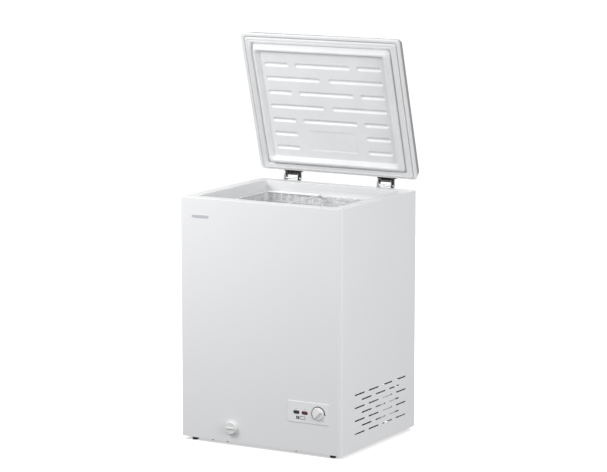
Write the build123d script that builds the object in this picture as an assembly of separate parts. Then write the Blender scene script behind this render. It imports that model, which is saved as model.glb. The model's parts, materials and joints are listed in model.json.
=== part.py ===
"""Chest freezer with a rear-hinged lid, a lift-out wire basket, a thermostat dial and a front drain.

Frame: +Z up, front faces -Y, origin on the floor at the centre of the cabinet's footprint.
The lid is modelled closed and then turned about its hinge pins to its resting, open angle.
All sizes are in millimetres.
"""
from build123d import *
import math
import os

# ---------------------------------------------------------------- driving sizes
CABINET_WIDTH = 593.0
CABINET_DEPTH = 508.0
RIM_HEIGHT = 795.0
FOOT_HEIGHT = 12.0
SHEET = 0.8
FRONT_CORNER = 13.0
REAR_CORNER = 18.0
SKIRT_FLANGE = 34.0
REAR_FLANGE = 26.0

# top frame and the breaker strip below it
RIM_WIDTH = 42.0
FRAME_WALL = 2.5
FRAME_DROP = 20.0
FRAME_LIP_DROP = 10.0
LEDGE_DEPTH = 38.0
LEDGE_WIDTH = 14.5
OPENING_CORNER = 14.0
STRIP_SETBACK = 1.0

# insulated walls and the aluminium liner
LINER = 1.0
LINER_CORNER = 20.0
LINER_FLOOR = 84.0
STEP_INSULATION = 45.0

# feet
FOOT_SCREW = 5.0
FOOT_RADIUS = 10.0
FOOT_RECESS = 6.0
FOOT_INSET_X = 41.0
FOOT_INSET_Y = 22.0
SKIRT_PLUG = 4.4
SKIRT_PLUG_HEAD = 9.0
SKIRT_PLUG_DROP = 3.5
SKIRT_PLUG_INSET = 9.0
SKIRT_PLUG_X = (-180.0, -125.0, 130.0)

# refrigerant tubes in the foam
EVAPORATOR_TUBE = 8.0
EVAPORATOR_LOOPS = 6
EVAPORATOR_RISE = 40.0
EVAPORATOR_HEADROOM = 102.0
CONDENSER_TUBE = 5.0
CONDENSER_PASSES = 7
CONDENSER_RISE = 40.0
CONDENSER_HEADROOM = 93.0
CONDENSER_INSET = 60.0

# machine compartment, low on the right
BAY_LEFT_ROOM = 37.5
BAY_RIGHT_ROOM = 4.5
BAY_HEADROOM = 40.0
BAY_FLANGE = 20.0
SCREW = 4.0
SCREW_HEAD = 4.0
GLAND_INSET = 13.0
GLAND_Z = 45.0
GLAND_BORE = 9.0
GLAND_WALL = 2.0
GLAND_RIM = 2.5
WINDOW_INSET = 34.0
GRILLE_LAP = 9.0
GRILLE = 1.2
GRILLE_SLOTS = 8
GRILLE_SLOT = 2.4
COMPRESSOR_Y = 60.0
COMPRESSOR_RADIUS = 70.0
COMPRESSOR_LOW = 42.0
COMPRESSOR_HEIGHT = 158.0
MOUNT_REACH = 3.0
MOUNT_SPAN_Y = 90.0
MOUNT_PLATE_Z = 32.0
MOUNT_BOLT = 6.0
PLATE = 2.0
RELAY_GAP = 5.0
RELAY_Y0 = 18.0
RELAY_Y1 = 118.0
RELAY_Z0 = 78.0
RELAY_Z1 = 156.0
RELAY_DEPTH = 34.0
DRIER_INSET = 34.0
DRIER_Y = -90.0
DRIER_LOW = 70.0
DRIER_LENGTH = 110.0
DRIER_RADIUS = 10.0
TUBE = 3.0
TUBE_END_GAP = 0.15
SUCTION_SIDE = 40.0
SUCTION_ROOM = 61.5
SUCTION_HIGH = 170.0
SUCTION_LOW = 130.0
DISCHARGE_SIDE = 20.0
DISCHARGE_Z = 90.0
DISCHARGE_TURNS = (-60.0, -120.0, -130.0)
DISCHARGE_DIPS = (60.0, 50.0)
VENT_LENGTH = 66.0
VENT_HEIGHT = 4.5
VENT_PITCH_Y = 92.5
VENT_PITCH_Z = 21.0
VENT_ROWS = 7
VENT_CENTRE_Y = 6.0
VENT_RAISE = 2.0

# lid
LID_FRONT_SETBACK = 3.0
LID_REAR_SETBACK = 18.0
LID_HEIGHT = 49.6
LID_CORNER = 15.0
LID_DRAFT = 0.32
LID_TOP_ROUND = 4.0
LID_OPEN_ANGLE = 73.7
LID_EDGE_HEIGHT = 36.0
TRIM_WALL = 2.5
TRIM_LIP = 10.0
LID_LINER = 1.6
GASKET_GAP = 1.5
GASKET_HEIGHT = 9.6
GASKET_CHANNELS = (4.0, 11.0)
SEAL_GAP = 0.4
RIDGE_DROP = 13.0
PAN_DEPTH = 14.0
GROOVE_DEPTH = 4.5
GROOVE_WIDTH = 11.0
GROOVE_ROWS = 7
GROOVE_SIDE = 16.5
GROOVE_ENDS = (45.0, 34.0)
GROOVE_SHORT_SHARE = 0.4055
GROOVE_BREAK = 28.0
GROOVE_MIDDLE = 17.0
LABEL_PANEL_SHRINK = 26.0
LABEL_PANEL_HEIGHT = 70.0
RIM_BAND = 15.0
RIM_BAND_RISE = 2.6
RIM_BAND_INSET = 0.6
SEAL_CORNER = 8.0

# lid inner face, side, front and rear: the seal's margin from the lid's edges, then how far
# inside the cabinet's mouth each line of the raised ridge and its pan lies
SEAT_MARGIN = (17.0, 17.0, 5.0)
SLOPE_START_IN = (-5.0, -3.0, 0.0)
RIDGE_CLEARANCE = 1.5
SLOPE_END_IN = (7.0, 9.0, 12.0)
PAN_EDGE_IN = (15.0, 17.0, 20.0)
PAN_FLOOR_IN = (21.0, 23.0, 28.0)

# hinges
HINGE_INSET = 120.5
PIN_BACK = 10.0
PIN_RISE = 4.5
PIN_DIAMETER = 6.0
SPRING_BACK = 10.0
SPRING_RISE = 17.5
SPRING_RADIUS = 8.0
SPRING_WIRE = 3.6
SPRING_PITCH = 8.0
HINGE_LEFT = -33.0
HINGE_RIGHT = 21.0
EAR = 2.0
LEAF = 2.0
ARM = 3.0
ARM_GAP = 1.2
SPRING_ROD = 5.0
HINGE_PLATE_DROP = 57.0
HINGE_PLATE_HEIGHT = 52.0
LEAF_WIDTH_LEFT = -31.0
LEAF_WIDTH_RIGHT = 40.0
LEAF_HEIGHT = 40.0

# control panel
PANEL_INSET = 45.5
PANEL_Z = 139.5
PANEL_WIDTH = 148.0
PANEL_HEIGHT = 68.0
PANEL_PROUD = 1.5
LAMP_WIDTH = 22.0
LAMP_HEIGHT = 11.0
LAMP_SHARES = (-0.2804, -0.0777)
LAMP_DROP = 1.5
KNOB_SHARE = 0.25
KNOB_DROP = 0.5
PLUG_INSET = 3.0
KNOB_RADIUS = 18.0
KNOB_STEM = 6.0
KNOB_GRIP = 5.0
KNOB_REST_ANGLE = 45.0
BUSH = 10.0
BOX_GAP = 0.5
THERMO_FRONT = 6.0
CAPILLARY = 2.4
CAPILLARY_RISE = 18.0
CAPILLARY_RUN = 6.5
BULB = 7.0
BULB_GAP = 1.5
BULB_RISE = 43.0
BULB_LENGTH = 92.0
BADGE_INSET = 76.5
BADGE_DROP = 59.0
BADGE_LENGTH = 62.0
BADGE_HEIGHT = 9.0

# drain
DRAIN_INSET = 191.5
DRAIN_DROP = 25.0
DRAIN_INLET_INSET = 47.5
DRAIN_BORE = 16.0
DRAIN_COLLAR_NECK = 5.0
DRAIN_TUBE_WALL = 2.0
DRAIN_CAP_RADIUS = 21.0
COLLAR = 2.0
SPOUT_WALL = 1.6
SPOUT_END_GAP = 20.0
CAP_GAP = 0.6
CAP_DEPTH = 8.5
CAP_GRIP = 2.5

# basket
BASKET_WIDTH = 202.0
BASKET_SIDE_GAP = 4.0
BASKET_HEIGHT = 190.0
BASKET_ROD = 5.0
BASKET_WIRE = 2.4
BASKET_MESH = 27.5
BASKET_INSET_Y = 8.0
BASKET_END_GAP = 4.0

# clearances
PAINT_GAP = 0.3
RUNNING = 0.05
SLIP = 0.3

# ---------------------------------------------------------------- places worked out from them
HALF_W = CABINET_WIDTH / 2
HALF_D = CABINET_DEPTH / 2
FRAME_BOTTOM = RIM_HEIGHT - FRAME_WALL
WALL = RIM_WIDTH + LEDGE_WIDTH
OPEN_HALF_W = HALF_W - RIM_WIDTH
OPEN_HALF_D = HALF_D - RIM_WIDTH
LEDGE_Z = RIM_HEIGHT - LEDGE_DEPTH
INNER_W = CABINET_WIDTH - 2 * WALL
INNER_D = CABINET_DEPTH - 2 * WALL
BASE_Z = FOOT_HEIGHT + SHEET
BACK_FACE = HALF_D - SHEET
BAY_WIDTH = BAY_LEFT_ROOM + 2 * COMPRESSOR_RADIUS + RELAY_GAP + RELAY_DEPTH + BAY_RIGHT_ROOM
BAY_TOP = COMPRESSOR_LOW + COMPRESSOR_HEIGHT + BAY_HEADROOM
BAY_X = HALF_W - BAY_WIDTH
VENT_CENTRE_Z = (FOOT_HEIGHT + BAY_TOP) / 2 + VENT_RAISE
COMPRESSOR_X = BAY_X + BAY_LEFT_ROOM + COMPRESSOR_RADIUS
MOUNT_SPAN_X = 2 * (COMPRESSOR_RADIUS + MOUNT_REACH)
GLAND_X = BAY_X + GLAND_INSET
RELAY_X = COMPRESSOR_X + COMPRESSOR_RADIUS + RELAY_GAP
DRIER_X = BAY_X + DRIER_INSET
HINGE_X = HALF_W - HINGE_INSET
PIN_Y = HALF_D + PIN_BACK
HINGE_PLATE_LOW = RIM_HEIGHT - HINGE_PLATE_DROP
HINGE_PLATE_HIGH = HINGE_PLATE_LOW + HINGE_PLATE_HEIGHT
STEP_X = BAY_X - STEP_INSULATION
STEP_Z = BAY_TOP + STEP_INSULATION
EVAPORATOR_LOW = STEP_Z + EVAPORATOR_RISE
EVAPORATOR_PITCH = (LEDGE_Z - EVAPORATOR_HEADROOM - EVAPORATOR_LOW) / (EVAPORATOR_LOOPS - 1)
CONDENSER_LOW = LINER_FLOOR + CONDENSER_RISE
CONDENSER_PITCH = (LEDGE_Z - CONDENSER_HEADROOM - CONDENSER_LOW) / (CONDENSER_PASSES - 1)
PANEL_X = HALF_W - PANEL_WIDTH / 2 - PANEL_INSET
LAMP_X = tuple(PANEL_X + share * PANEL_WIDTH for share in LAMP_SHARES)
LAMP_Z = PANEL_Z - LAMP_DROP
KNOB_X = PANEL_X + KNOB_SHARE * PANEL_WIDTH
KNOB_Z = PANEL_Z - KNOB_DROP
CAPILLARY_Y = -(INNER_D / 2 + LINER + EVAPORATOR_TUBE + BULB / 2 + BULB_GAP)
THERMO_DEPTH = HALF_D + CAPILLARY_Y - THERMO_FRONT - CAPILLARY_RUN
BOX_DEPTH = HALF_D + CAPILLARY_Y - SHEET - CAPILLARY / 2 - BOX_GAP
BULB_LOW = STEP_Z + BULB_RISE
SUCTION_Y = CAPILLARY_Y + SUCTION_ROOM
BADGE_X = BADGE_INSET - HALF_W
BADGE_Z = RIM_HEIGHT - BADGE_DROP
DRAIN_X = DRAIN_INSET - HALF_W
DRAIN_Z = LINER_FLOOR - DRAIN_DROP
DRAIN_INLET_Y = DRAIN_INLET_INSET - INNER_D / 2
SPOUT_END_Y = DRAIN_INLET_Y - SPOUT_END_GAP
PIN_Z = RIM_HEIGHT + PIN_RISE
SPRING_Y = PIN_Y + SPRING_BACK
SPRING_Z = PIN_Z + SPRING_RISE
LID_REAR_Y = HALF_D - LID_REAR_SETBACK
LID_FRONT_Y = LID_FRONT_SETBACK - HALF_D
LID_LENGTH = LID_REAR_Y - LID_FRONT_Y
SEAL_Z = RIM_HEIGHT + SEAL_GAP
LID_TOP = SEAL_Z + LID_HEIGHT
LID_SPLIT_Z = LID_TOP - LID_EDGE_HEIGHT
LID_FLANGE_Z = SEAL_Z + GASKET_HEIGHT
RIDGE_Z = SEAL_Z - RIDGE_DROP
PAN_Z = RIDGE_Z + PAN_DEPTH
GROOVE_Z = PAN_Z + GROOVE_DEPTH
BASKET_TOP_Z = LEDGE_Z + PAINT_GAP + BASKET_ROD / 2
BASKET_LEFT = -INNER_W / 2 + BASKET_SIDE_GAP
BASKET_RIGHT = BASKET_LEFT + BASKET_WIDTH




def inside_mouth(side, front, rear):
    """Margins from the lid's edges of a line that far inside the cabinet's mouth."""
    return (RIM_WIDTH + side, RIM_WIDTH - LID_FRONT_SETBACK + front,
            RIM_WIDTH - LID_REAR_SETBACK + rear)


SLOPE_START = inside_mouth(*SLOPE_START_IN)
SLOPE_MID = inside_mouth(RIDGE_CLEARANCE, RIDGE_CLEARANCE, RIDGE_CLEARANCE)
SLOPE_END = inside_mouth(*SLOPE_END_IN)
PAN_EDGE = inside_mouth(*PAN_EDGE_IN)
PAN_FLOOR = inside_mouth(*PAN_FLOOR_IN)
GROOVE_PITCH = (LID_LENGTH - PAN_FLOOR[1] - PAN_FLOOR[2] - sum(GROOVE_ENDS)) / (GROOVE_ROWS - 1)
GROOVE_OUTER = HALF_W - PAN_FLOOR[0] - GROOVE_SIDE
GROOVE_SHORT = GROOVE_OUTER * GROOVE_SHORT_SHARE
GROOVE_WIDE = 2 * (GROOVE_OUTER - GROOVE_SHORT - GROOVE_BREAK)


# ---------------------------------------------------------------- helpers
def block(x0, x1, y0, y1, z0, z1):
    """A box between two corners."""
    size = Box(x1 - x0, y1 - y0, z1 - z0)
    return Pos((x0 + x1) / 2, (y0 + y1) / 2, (z0 + z1) / 2) * size


def slab(width, depth, radius, z0, z1, x=0.0, y=0.0):
    """A flat slab with rounded plan corners."""
    return Pos(x, y, z0) * extrude(RectangleRounded(width, depth, radius), z1 - z0)


def rod(start, end, radius):
    """A round bar between two points."""
    a, b = Vector(*start), Vector(*end)
    plane = Plane(origin=a, z_dir=(b - a).normalized())
    return plane * Cylinder(radius, (b - a).length, align=(Align.CENTER, Align.CENTER, Align.MIN))


def disc_y(x, z, radius, y0, y1):
    """A round bar along Y."""
    return rod((x, y0, z), (x, y1, z), radius)


def rear_hole(x, z, radius):
    """A round cutter along Y through whatever lies at the back panel."""
    return disc_y(x, z, radius, BACK_FACE - 20, BACK_FACE + 20)


def disc_x(y, z, radius, x0, x1):
    """A round bar along X."""
    return rod((x0, y, z), (x1, y, z), radius)


def tube_path(points, radii, outer):
    """A round bar along straight runs joined by arcs."""
    path = FilletPolyline(*points, radius=radii)
    section = Plane(origin=path @ 0, z_dir=path % 0) * Circle(outer)
    return sweep(section, path=path)


def outline(inset, height, z0, extra_radius=0.0):
    """The cabinet's plan outline, moved inwards and extruded upwards."""
    sketch = Rectangle(CABINET_WIDTH - 2 * inset, CABINET_DEPTH - 2 * inset)
    rows = sketch.vertices().group_by(Axis.Y)
    front = max(FRONT_CORNER - inset, 1.0) + extra_radius
    rear = max(REAR_CORNER - inset, 1.0) + extra_radius
    sketch = fillet(rows[0], front)
    sketch = fillet(sketch.vertices().group_by(Axis.Y)[-1], rear)
    return Pos(0, 0, z0) * extrude(sketch, height)


def lid_slab(side, front, rear, radius, z0, z1):
    """A slab of the lid, given by its margins from the lid's edges, in the closed position."""
    width = CABINET_WIDTH - 2 * side
    depth = LID_LENGTH - front - rear
    y = (LID_FRONT_Y + front + LID_REAR_Y - rear) / 2
    return slab(width, depth, radius, z0, z1, y=y)


def lid_frustum(low, high, z_low, z_high):
    """A tapered block of the lid between two sets of margins (side, front, rear, radius)."""
    faces = []
    for (side, front, rear, radius), z in ((low, z_low), (high, z_high)):
        width = CABINET_WIDTH - 2 * side
        depth = LID_LENGTH - front - rear
        y = (LID_FRONT_Y + front + LID_REAR_Y - rear) / 2
        faces.append(Pos(0, y, z) * RectangleRounded(width, depth, radius))
    return loft(faces, ruled=True)


def lid_taper(inset, z0, z1):
    """A slab of the lid that follows its sloping sides and front, set in from its skin."""
    ends = []
    for z in (z0, z1):
        slope = LID_DRAFT * (z - SEAL_Z)
        ends.append((inset + slope, inset + slope, inset, LID_CORNER - inset))
    return lid_frustum(ends[0], ends[1], z0, z1)


def opened(shape):
    """Turns a piece of the lid from closed to its resting angle about the hinge pins."""
    axis = Axis((0, PIN_Y, PIN_Z), (1, 0, 0))
    return shape.rotate(axis, -LID_OPEN_ANGLE)


def save(name, shape):
    """Writes one sub-part."""
    shape.label = name
    export_step(shape, f"parts/{name}.step")


# ---------------------------------------------------------------- cabinet
def vent_centres():
    """Staggered rows of slots in the right side, four and three in turn."""
    centres = []
    for row in range(VENT_ROWS):
        count = 4 if row % 2 == 0 else 3
        z = VENT_CENTRE_Z + (row - (VENT_ROWS - 1) / 2) * VENT_PITCH_Z
        for i in range(count):
            centres.append((VENT_CENTRE_Y + (i - (count - 1) / 2) * VENT_PITCH_Y, z))
    return centres


def outer_shell():
    """Front and sides bent from one sheet, with a turned-in skirt and rear flanges."""
    height = FRAME_BOTTOM - FOOT_HEIGHT
    wrap = outline(0, height, FOOT_HEIGHT) - outline(SHEET, height, FOOT_HEIGHT)
    gap_half = HALF_W - REAR_FLANGE
    wrap -= block(-gap_half, gap_half, HALF_D - 5, HALF_D + 5, 0, RIM_HEIGHT)
    skirt = outline(0, SHEET, FOOT_HEIGHT)
    inner_x = HALF_W - SKIRT_FLANGE
    skirt -= block(-inner_x, inner_x, SKIRT_FLANGE - HALF_D, HALF_D + 5, 0, RIM_HEIGHT)
    shell = wrap + skirt
    slots = []
    for y, z in vent_centres():
        slot = Rot(0, 90, 0) * SlotOverall(VENT_LENGTH, VENT_HEIGHT, rotation=90)
        slots.append(Pos(HALF_W - 5, y, z) * extrude(slot, 10, dir=(1, 0, 0)))
    shell -= slots
    cut_w = PANEL_WIDTH / 2 - PLUG_INSET
    cut_h = PANEL_HEIGHT / 2 - PLUG_INSET
    shell -= block(PANEL_X - cut_w, PANEL_X + cut_w, -HALF_D - 5, 5 - HALF_D,
                   PANEL_Z - cut_h, PANEL_Z + cut_h)
    shell -= disc_y(DRAIN_X, DRAIN_Z, DRAIN_BORE / 2 + DRAIN_COLLAR_NECK, -HALF_D - 5, 5 - HALF_D)
    for x, y in foot_centres():
        shell -= rod((x, y, 0), (x, y, BASE_Z + 1), FOOT_SCREW / 2 + SLIP)
    for x, y in plug_centres():
        shell -= rod((x, y, 0), (x, y, BASE_Z + 1), SKIRT_PLUG / 2 + SLIP)
    return shell


def plug_centres():
    """Plan places of the plugs that close the skirt's jig holes."""
    return [(x, SKIRT_PLUG_INSET - HALF_D) for x in SKIRT_PLUG_X]


def skirt_plug(x, y):
    """A push-in plug in the skirt."""
    head = rod((x, y, FOOT_HEIGHT - SKIRT_PLUG_DROP), (x, y, FOOT_HEIGHT), SKIRT_PLUG_HEAD / 2)
    return head + rod((x, y, FOOT_HEIGHT), (x, y, BASE_Z), SKIRT_PLUG / 2)


def foot_centres():
    """Plan places of the four feet."""
    x = HALF_W - FOOT_INSET_X
    y = HALF_D - FOOT_INSET_Y
    return [(-x, -y), (x, -y), (-x, y), (x, y)]


def foot(x, y):
    """A moulded foot with a recess for its screw head."""
    pad = rod((x, y, 0), (x, y, FOOT_HEIGHT), FOOT_RADIUS)
    pad = chamfer(pad.edges().group_by(Axis.Z)[0], 1)
    pad -= rod((x, y, -1), (x, y, 5), FOOT_RECESS)
    return pad - rod((x, y, -1), (x, y, FOOT_HEIGHT + 1), FOOT_SCREW / 2 + SLIP)


def foot_screw(x, y):
    """A screw up through a foot into the skirt."""
    head = rod((x, y, 2), (x, y, 5), 5)
    return head + rod((x, y, 4), (x, y, BASE_Z), FOOT_SCREW / 2)


def rear_window():
    """The opening in the back panel behind the machine compartment."""
    return (BAY_X + WINDOW_INSET, HALF_W - REAR_FLANGE - 14, BASE_Z + 20, BAY_TOP - 26)


def back_panel():
    """Flat rear sheet, lapped inside the shell's rear flanges."""
    half = HALF_W - REAR_CORNER - 2
    panel = block(-half, half, BACK_FACE - SHEET, BACK_FACE, BASE_Z, FRAME_BOTTOM)
    x0, x1, z0, z1 = rear_window()
    panel -= block(x0, x1, 0, HALF_D + 5, z0, z1)
    for x, z in hinge_screw_places() + grille_screw_places():
        panel -= rear_hole(x, z, SCREW / 2 + SLIP)
    panel -= rear_hole(GLAND_X, GLAND_Z, GLAND_BORE / 2 + GLAND_WALL)
    return panel


def bottom_panel():
    """Steel sheet under the insulation, left of the machine compartment."""
    sheet = outline(SHEET, SHEET, BASE_Z)
    sheet -= block(BAY_X, HALF_W, -HALF_D, HALF_D, 0, 100)
    sheet -= block(-HALF_W, HALF_W, BACK_FACE - SHEET, HALF_D, 0, 100)
    return sheet


def bay_wall():
    """Bent sheet that closes the insulation off from the machine compartment."""
    y0 = SHEET - HALF_D
    y1 = BACK_FACE - SHEET
    wall = block(BAY_X, BAY_X + SHEET, y0, y1, BASE_Z, BAY_TOP)
    wall += block(BAY_X, HALF_W - SHEET, y0 + 2, y1, BAY_TOP - SHEET, BAY_TOP)
    wall += block(BAY_X, BAY_X + BAY_FLANGE, SKIRT_FLANGE - HALF_D, y1, FOOT_HEIGHT, BASE_Z)
    wall = wall & outline(SHEET, RIM_HEIGHT, 0)
    low = (KNOB_X, CAPILLARY_Y, BAY_TOP - 5)
    return wall - rod(low, (KNOB_X, CAPILLARY_Y, BAY_TOP + 5), 1.25 * CAPILLARY)


def liner_solid(grow):
    """The cabinet's hollow with its step over the machine compartment, grown outwards."""
    body = slab(INNER_W + 2 * grow, INNER_D + 2 * grow, LINER_CORNER + grow,
                LINER_FLOOR - grow, LEDGE_Z)
    step = block(STEP_X + grow, HALF_W, -HALF_D, HALF_D, 0, STEP_Z - grow)
    return body - step


def liner_panels():
    """The blocks of space that the liner's panels and corner strips are cut from."""
    a = INNER_W / 2
    b = INNER_D / 2
    flat_a = a - LINER_CORNER
    flat_b = b - LINER_CORNER
    high = LEDGE_Z - LINER
    fold = STEP_X + LINER
    panels = [block(-HALF_W, fold, -HALF_D, HALF_D, 0, LINER_FLOOR),
              block(STEP_X, fold, -b, b, LINER_FLOOR, STEP_Z),
              block(fold, HALF_W, -HALF_D, HALF_D, STEP_Z - LINER, STEP_Z),
              block(-HALF_W, -a, -flat_b, flat_b, LINER_FLOOR, high),
              block(a, HALF_W, -flat_b, flat_b, STEP_Z, high),
              block(-HALF_W, -a, -b, b, high, LEDGE_Z),
              block(a, HALF_W, -b, b, high, LEDGE_Z)]
    for y0, y1 in ((-HALF_D, -b), (b, HALF_D)):
        panels += [block(-flat_a, fold, y0, y1, LINER_FLOOR, STEP_Z),
                   block(-flat_a, flat_a, y0, y1, STEP_Z, high),
                   block(-HALF_W, HALF_W, y0, y1, high, LEDGE_Z)]
    for y0, y1, flat0, flat1 in ((-HALF_D, -flat_b, -b, -flat_b), (flat_b, HALF_D, flat_b, b)):
        panels += [block(-HALF_W, -flat_a, y0, y1, LINER_FLOOR, high),
                   block(flat_a, HALF_W, y0, y1, STEP_Z, high),
                   block(-a, -flat_a, flat0, flat1, high, LEDGE_Z),
                   block(flat_a, a, flat0, flat1, high, LEDGE_Z)]
    return panels


def inner_liner():
    """Embossed aluminium liner of panels and corner strips, with the basket's ledge on top."""
    flange_w = 2 * (OPEN_HALF_W + STRIP_SETBACK + FRAME_WALL)
    flange_d = 2 * (OPEN_HALF_D + STRIP_SETBACK + FRAME_WALL)
    flange = slab(flange_w, flange_d, OPENING_CORNER + 3, LEDGE_Z - LINER, LEDGE_Z)
    body = liner_solid(LINER) + flange
    hollow = slab(INNER_W, INNER_D, LINER_CORNER, LINER_FLOOR, RIM_HEIGHT)
    hollow -= block(STEP_X, HALF_W, -HALF_D, HALF_D, 0, STEP_Z)
    body -= hollow
    low = (DRAIN_X, DRAIN_INLET_Y, LINER_FLOOR - 10)
    body -= rod(low, (DRAIN_X, DRAIN_INLET_Y, LINER_FLOOR + 10), DRAIN_BORE / 2)
    pieces = []
    for panel in liner_panels():
        pieces += (body & panel).solids()
    return Compound(pieces)


def breaker_strip():
    """Plastic strip between the top frame and the liner's flange."""
    grow = STRIP_SETBACK
    outer = slab(2 * (OPEN_HALF_W + grow + FRAME_WALL), 2 * (OPEN_HALF_D + grow + FRAME_WALL),
                 OPENING_CORNER + grow + FRAME_WALL, LEDGE_Z, RIM_HEIGHT - FRAME_DROP)
    inner = slab(2 * (OPEN_HALF_W + grow), 2 * (OPEN_HALF_D + grow), OPENING_CORNER + grow,
                 LEDGE_Z - 1, RIM_HEIGHT)
    return outer - inner


def top_frame():
    """White plastic frame round the mouth, with an inner drop and a locating lip."""
    plate = outline(0, FRAME_WALL, FRAME_BOTTOM)
    plate = fillet(plate.edges().group_by(Axis.Z)[-1], 1.8)
    drop = slab(2 * (OPEN_HALF_W + FRAME_WALL), 2 * (OPEN_HALF_D + FRAME_WALL),
                OPENING_CORNER + FRAME_WALL, RIM_HEIGHT - FRAME_DROP, RIM_HEIGHT - 1)
    lip_z = FRAME_BOTTOM - FRAME_LIP_DROP
    lip_in = SHEET + PAINT_GAP
    lip = outline(lip_in, FRAME_LIP_DROP, lip_z) - outline(lip_in + 2, FRAME_LIP_DROP, lip_z)
    lip -= block(-HALF_W, HALF_W, BACK_FACE - SHEET - PAINT_GAP, HALF_D, lip_z, RIM_HEIGHT)
    mouth = slab(2 * OPEN_HALF_W, 2 * OPEN_HALF_D, OPENING_CORNER,
                 RIM_HEIGHT - FRAME_DROP - 1, RIM_HEIGHT + 1)
    frame = plate + drop + lip - mouth
    inner_edges = [e for e in frame.edges().group_by(Axis.Z)[-1]
                   if e.bounding_box().max.Y < OPEN_HALF_D + 1
                   and e.bounding_box().min.Y > -OPEN_HALF_D - 1
                   and e.bounding_box().max.X < OPEN_HALF_W + 1
                   and e.bounding_box().min.X > -OPEN_HALF_W - 1]
    return fillet(inner_edges, 1.2)


def evaporator_solid(gap):
    """Loops of tube round the liner above the step, joined by a riser."""
    inner_w = INNER_W + 2 * LINER
    inner_d = INNER_D + 2 * LINER
    radius = LINER_CORNER + LINER
    size = EVAPORATOR_TUBE + gap
    coil = None
    for i in range(EVAPORATOR_LOOPS):
        z = EVAPORATOR_LOW + i * EVAPORATOR_PITCH - gap
        loop = slab(inner_w + 2 * size, inner_d + 2 * size, radius + size, z,
                    z + EVAPORATOR_TUBE + 2 * gap)
        loop -= slab(inner_w, inner_d, radius, z - 1, z + EVAPORATOR_TUBE + 2 * gap + 1)
        coil = loop if coil is None else coil + loop
    side = inner_w / 2
    top = EVAPORATOR_LOW + (EVAPORATOR_LOOPS - 1) * EVAPORATOR_PITCH + EVAPORATOR_TUBE + gap
    half = EVAPORATOR_TUBE / 2 + gap
    return coil + block(-side - size, -side, -half, half, EVAPORATOR_LOW - gap, top)


def condenser_solid(gap):
    """A serpentine of tube fixed to the inside of the left wall."""
    x0 = -HALF_W + SHEET
    x1 = x0 + CONDENSER_TUBE + gap
    run = HALF_D - CONDENSER_INSET
    half = CONDENSER_TUBE / 2 + gap
    coil = None
    for i in range(CONDENSER_PASSES):
        z = CONDENSER_LOW + i * CONDENSER_PITCH
        tube = block(x0, x1, -run - half, run + half, z - half, z + half)
        if i < CONDENSER_PASSES - 1:
            end = run if i % 2 == 0 else -run
            tube += block(x0, x1, end - half, end + half, z - half, z + CONDENSER_PITCH + half)
        coil = tube if coil is None else coil + tube
    return coil


def drain_path(radius):
    """The drain's elbow from the liner's floor to the front."""
    points = [(DRAIN_X, SHEET - HALF_D, DRAIN_Z), (DRAIN_X, DRAIN_INLET_Y, DRAIN_Z),
              (DRAIN_X, DRAIN_INLET_Y, LINER_FLOOR - LINER)]
    return tube_path(points, 14, radius)


def insulation_foam():
    """Foam that fills the walls round the liner, coils and drain."""
    low = BASE_Z + SHEET
    foam = outline(SHEET, LEDGE_Z - LINER - low, low, extra_radius=4)
    foam -= block(-HALF_W, HALF_W, BACK_FACE - SHEET, HALF_D, 0, RIM_HEIGHT)
    foam -= liner_solid(LINER)
    foam -= block(BAY_X, HALF_W, -HALF_D, HALF_D, 0, BAY_TOP)
    collar_top = FRAME_BOTTOM - FRAME_LIP_DROP - 1
    collar_low = LEDGE_Z - LINER
    collar = outline(SHEET, collar_top - collar_low, collar_low, extra_radius=4)
    grow = STRIP_SETBACK + FRAME_WALL + PAINT_GAP
    collar -= slab(2 * (OPEN_HALF_W + grow), 2 * (OPEN_HALF_D + grow), OPENING_CORNER + 1,
                   collar_low - 1, RIM_HEIGHT)
    collar -= block(-HALF_W, HALF_W, BACK_FACE - SHEET, HALF_D, 0, RIM_HEIGHT)
    foam += collar
    foam -= evaporator_solid(PAINT_GAP)
    foam -= condenser_solid(PAINT_GAP)
    foam -= drain_path(DRAIN_BORE / 2 + DRAIN_TUBE_WALL + PAINT_GAP)
    pocket_top = BULB_LOW + BULB_LENGTH + 2
    foam -= rod((KNOB_X, CAPILLARY_Y, BAY_TOP - 1), (KNOB_X, CAPILLARY_Y, pocket_top),
                BULB / 2 + 1)
    for x in (-HINGE_X, HINGE_X):
        foam -= block(x + HINGE_LEFT - 8, x + HINGE_RIGHT + 8, BACK_FACE - 14, HALF_D,
                      HINGE_PLATE_LOW - 6, RIM_HEIGHT)
    return foam


# ---------------------------------------------------------------- machine compartment
def grille_screw_places():
    """Corner screws of the rear grille."""
    x0, x1, z0, z1 = rear_window()
    edge = GRILLE_LAP / 2
    return [(x, z) for x in (x0 - edge, x1 + edge) for z in (z0 - edge, z1 + edge)]


def rear_grille():
    """Slotted cover over the machine compartment's rear opening."""
    x0, x1, z0, z1 = rear_window()
    lap = GRILLE_LAP
    cover = block(x0 - lap, x1 + lap, BACK_FACE, BACK_FACE + GRILLE, z0 - lap, z1 + lap)
    pitch = (z1 - z0) / GRILLE_SLOTS
    for i in range(GRILLE_SLOTS):
        z = z0 + (i + 0.5) * pitch
        for half in (0, 1):
            a = x0 + 8 + half * (x1 - x0 - 8) / 2
            b = a + (x1 - x0 - 24) / 2
            cover -= block(a, b, BACK_FACE - 1, BACK_FACE + 5, z - GRILLE_SLOT / 2,
                           z + GRILLE_SLOT / 2)
    for x, z in grille_screw_places():
        cover -= rear_hole(x, z, SCREW / 2 + SLIP)
    return cover


def panel_screw(x, z, face, depth):
    """A pan-head screw driven towards the front through the rear of the cabinet."""
    head = disc_y(x, z, SCREW_HEAD, face, face + 2.2)
    return head + disc_y(x, z, SCREW / 2, face - depth, face + 1)


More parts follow.
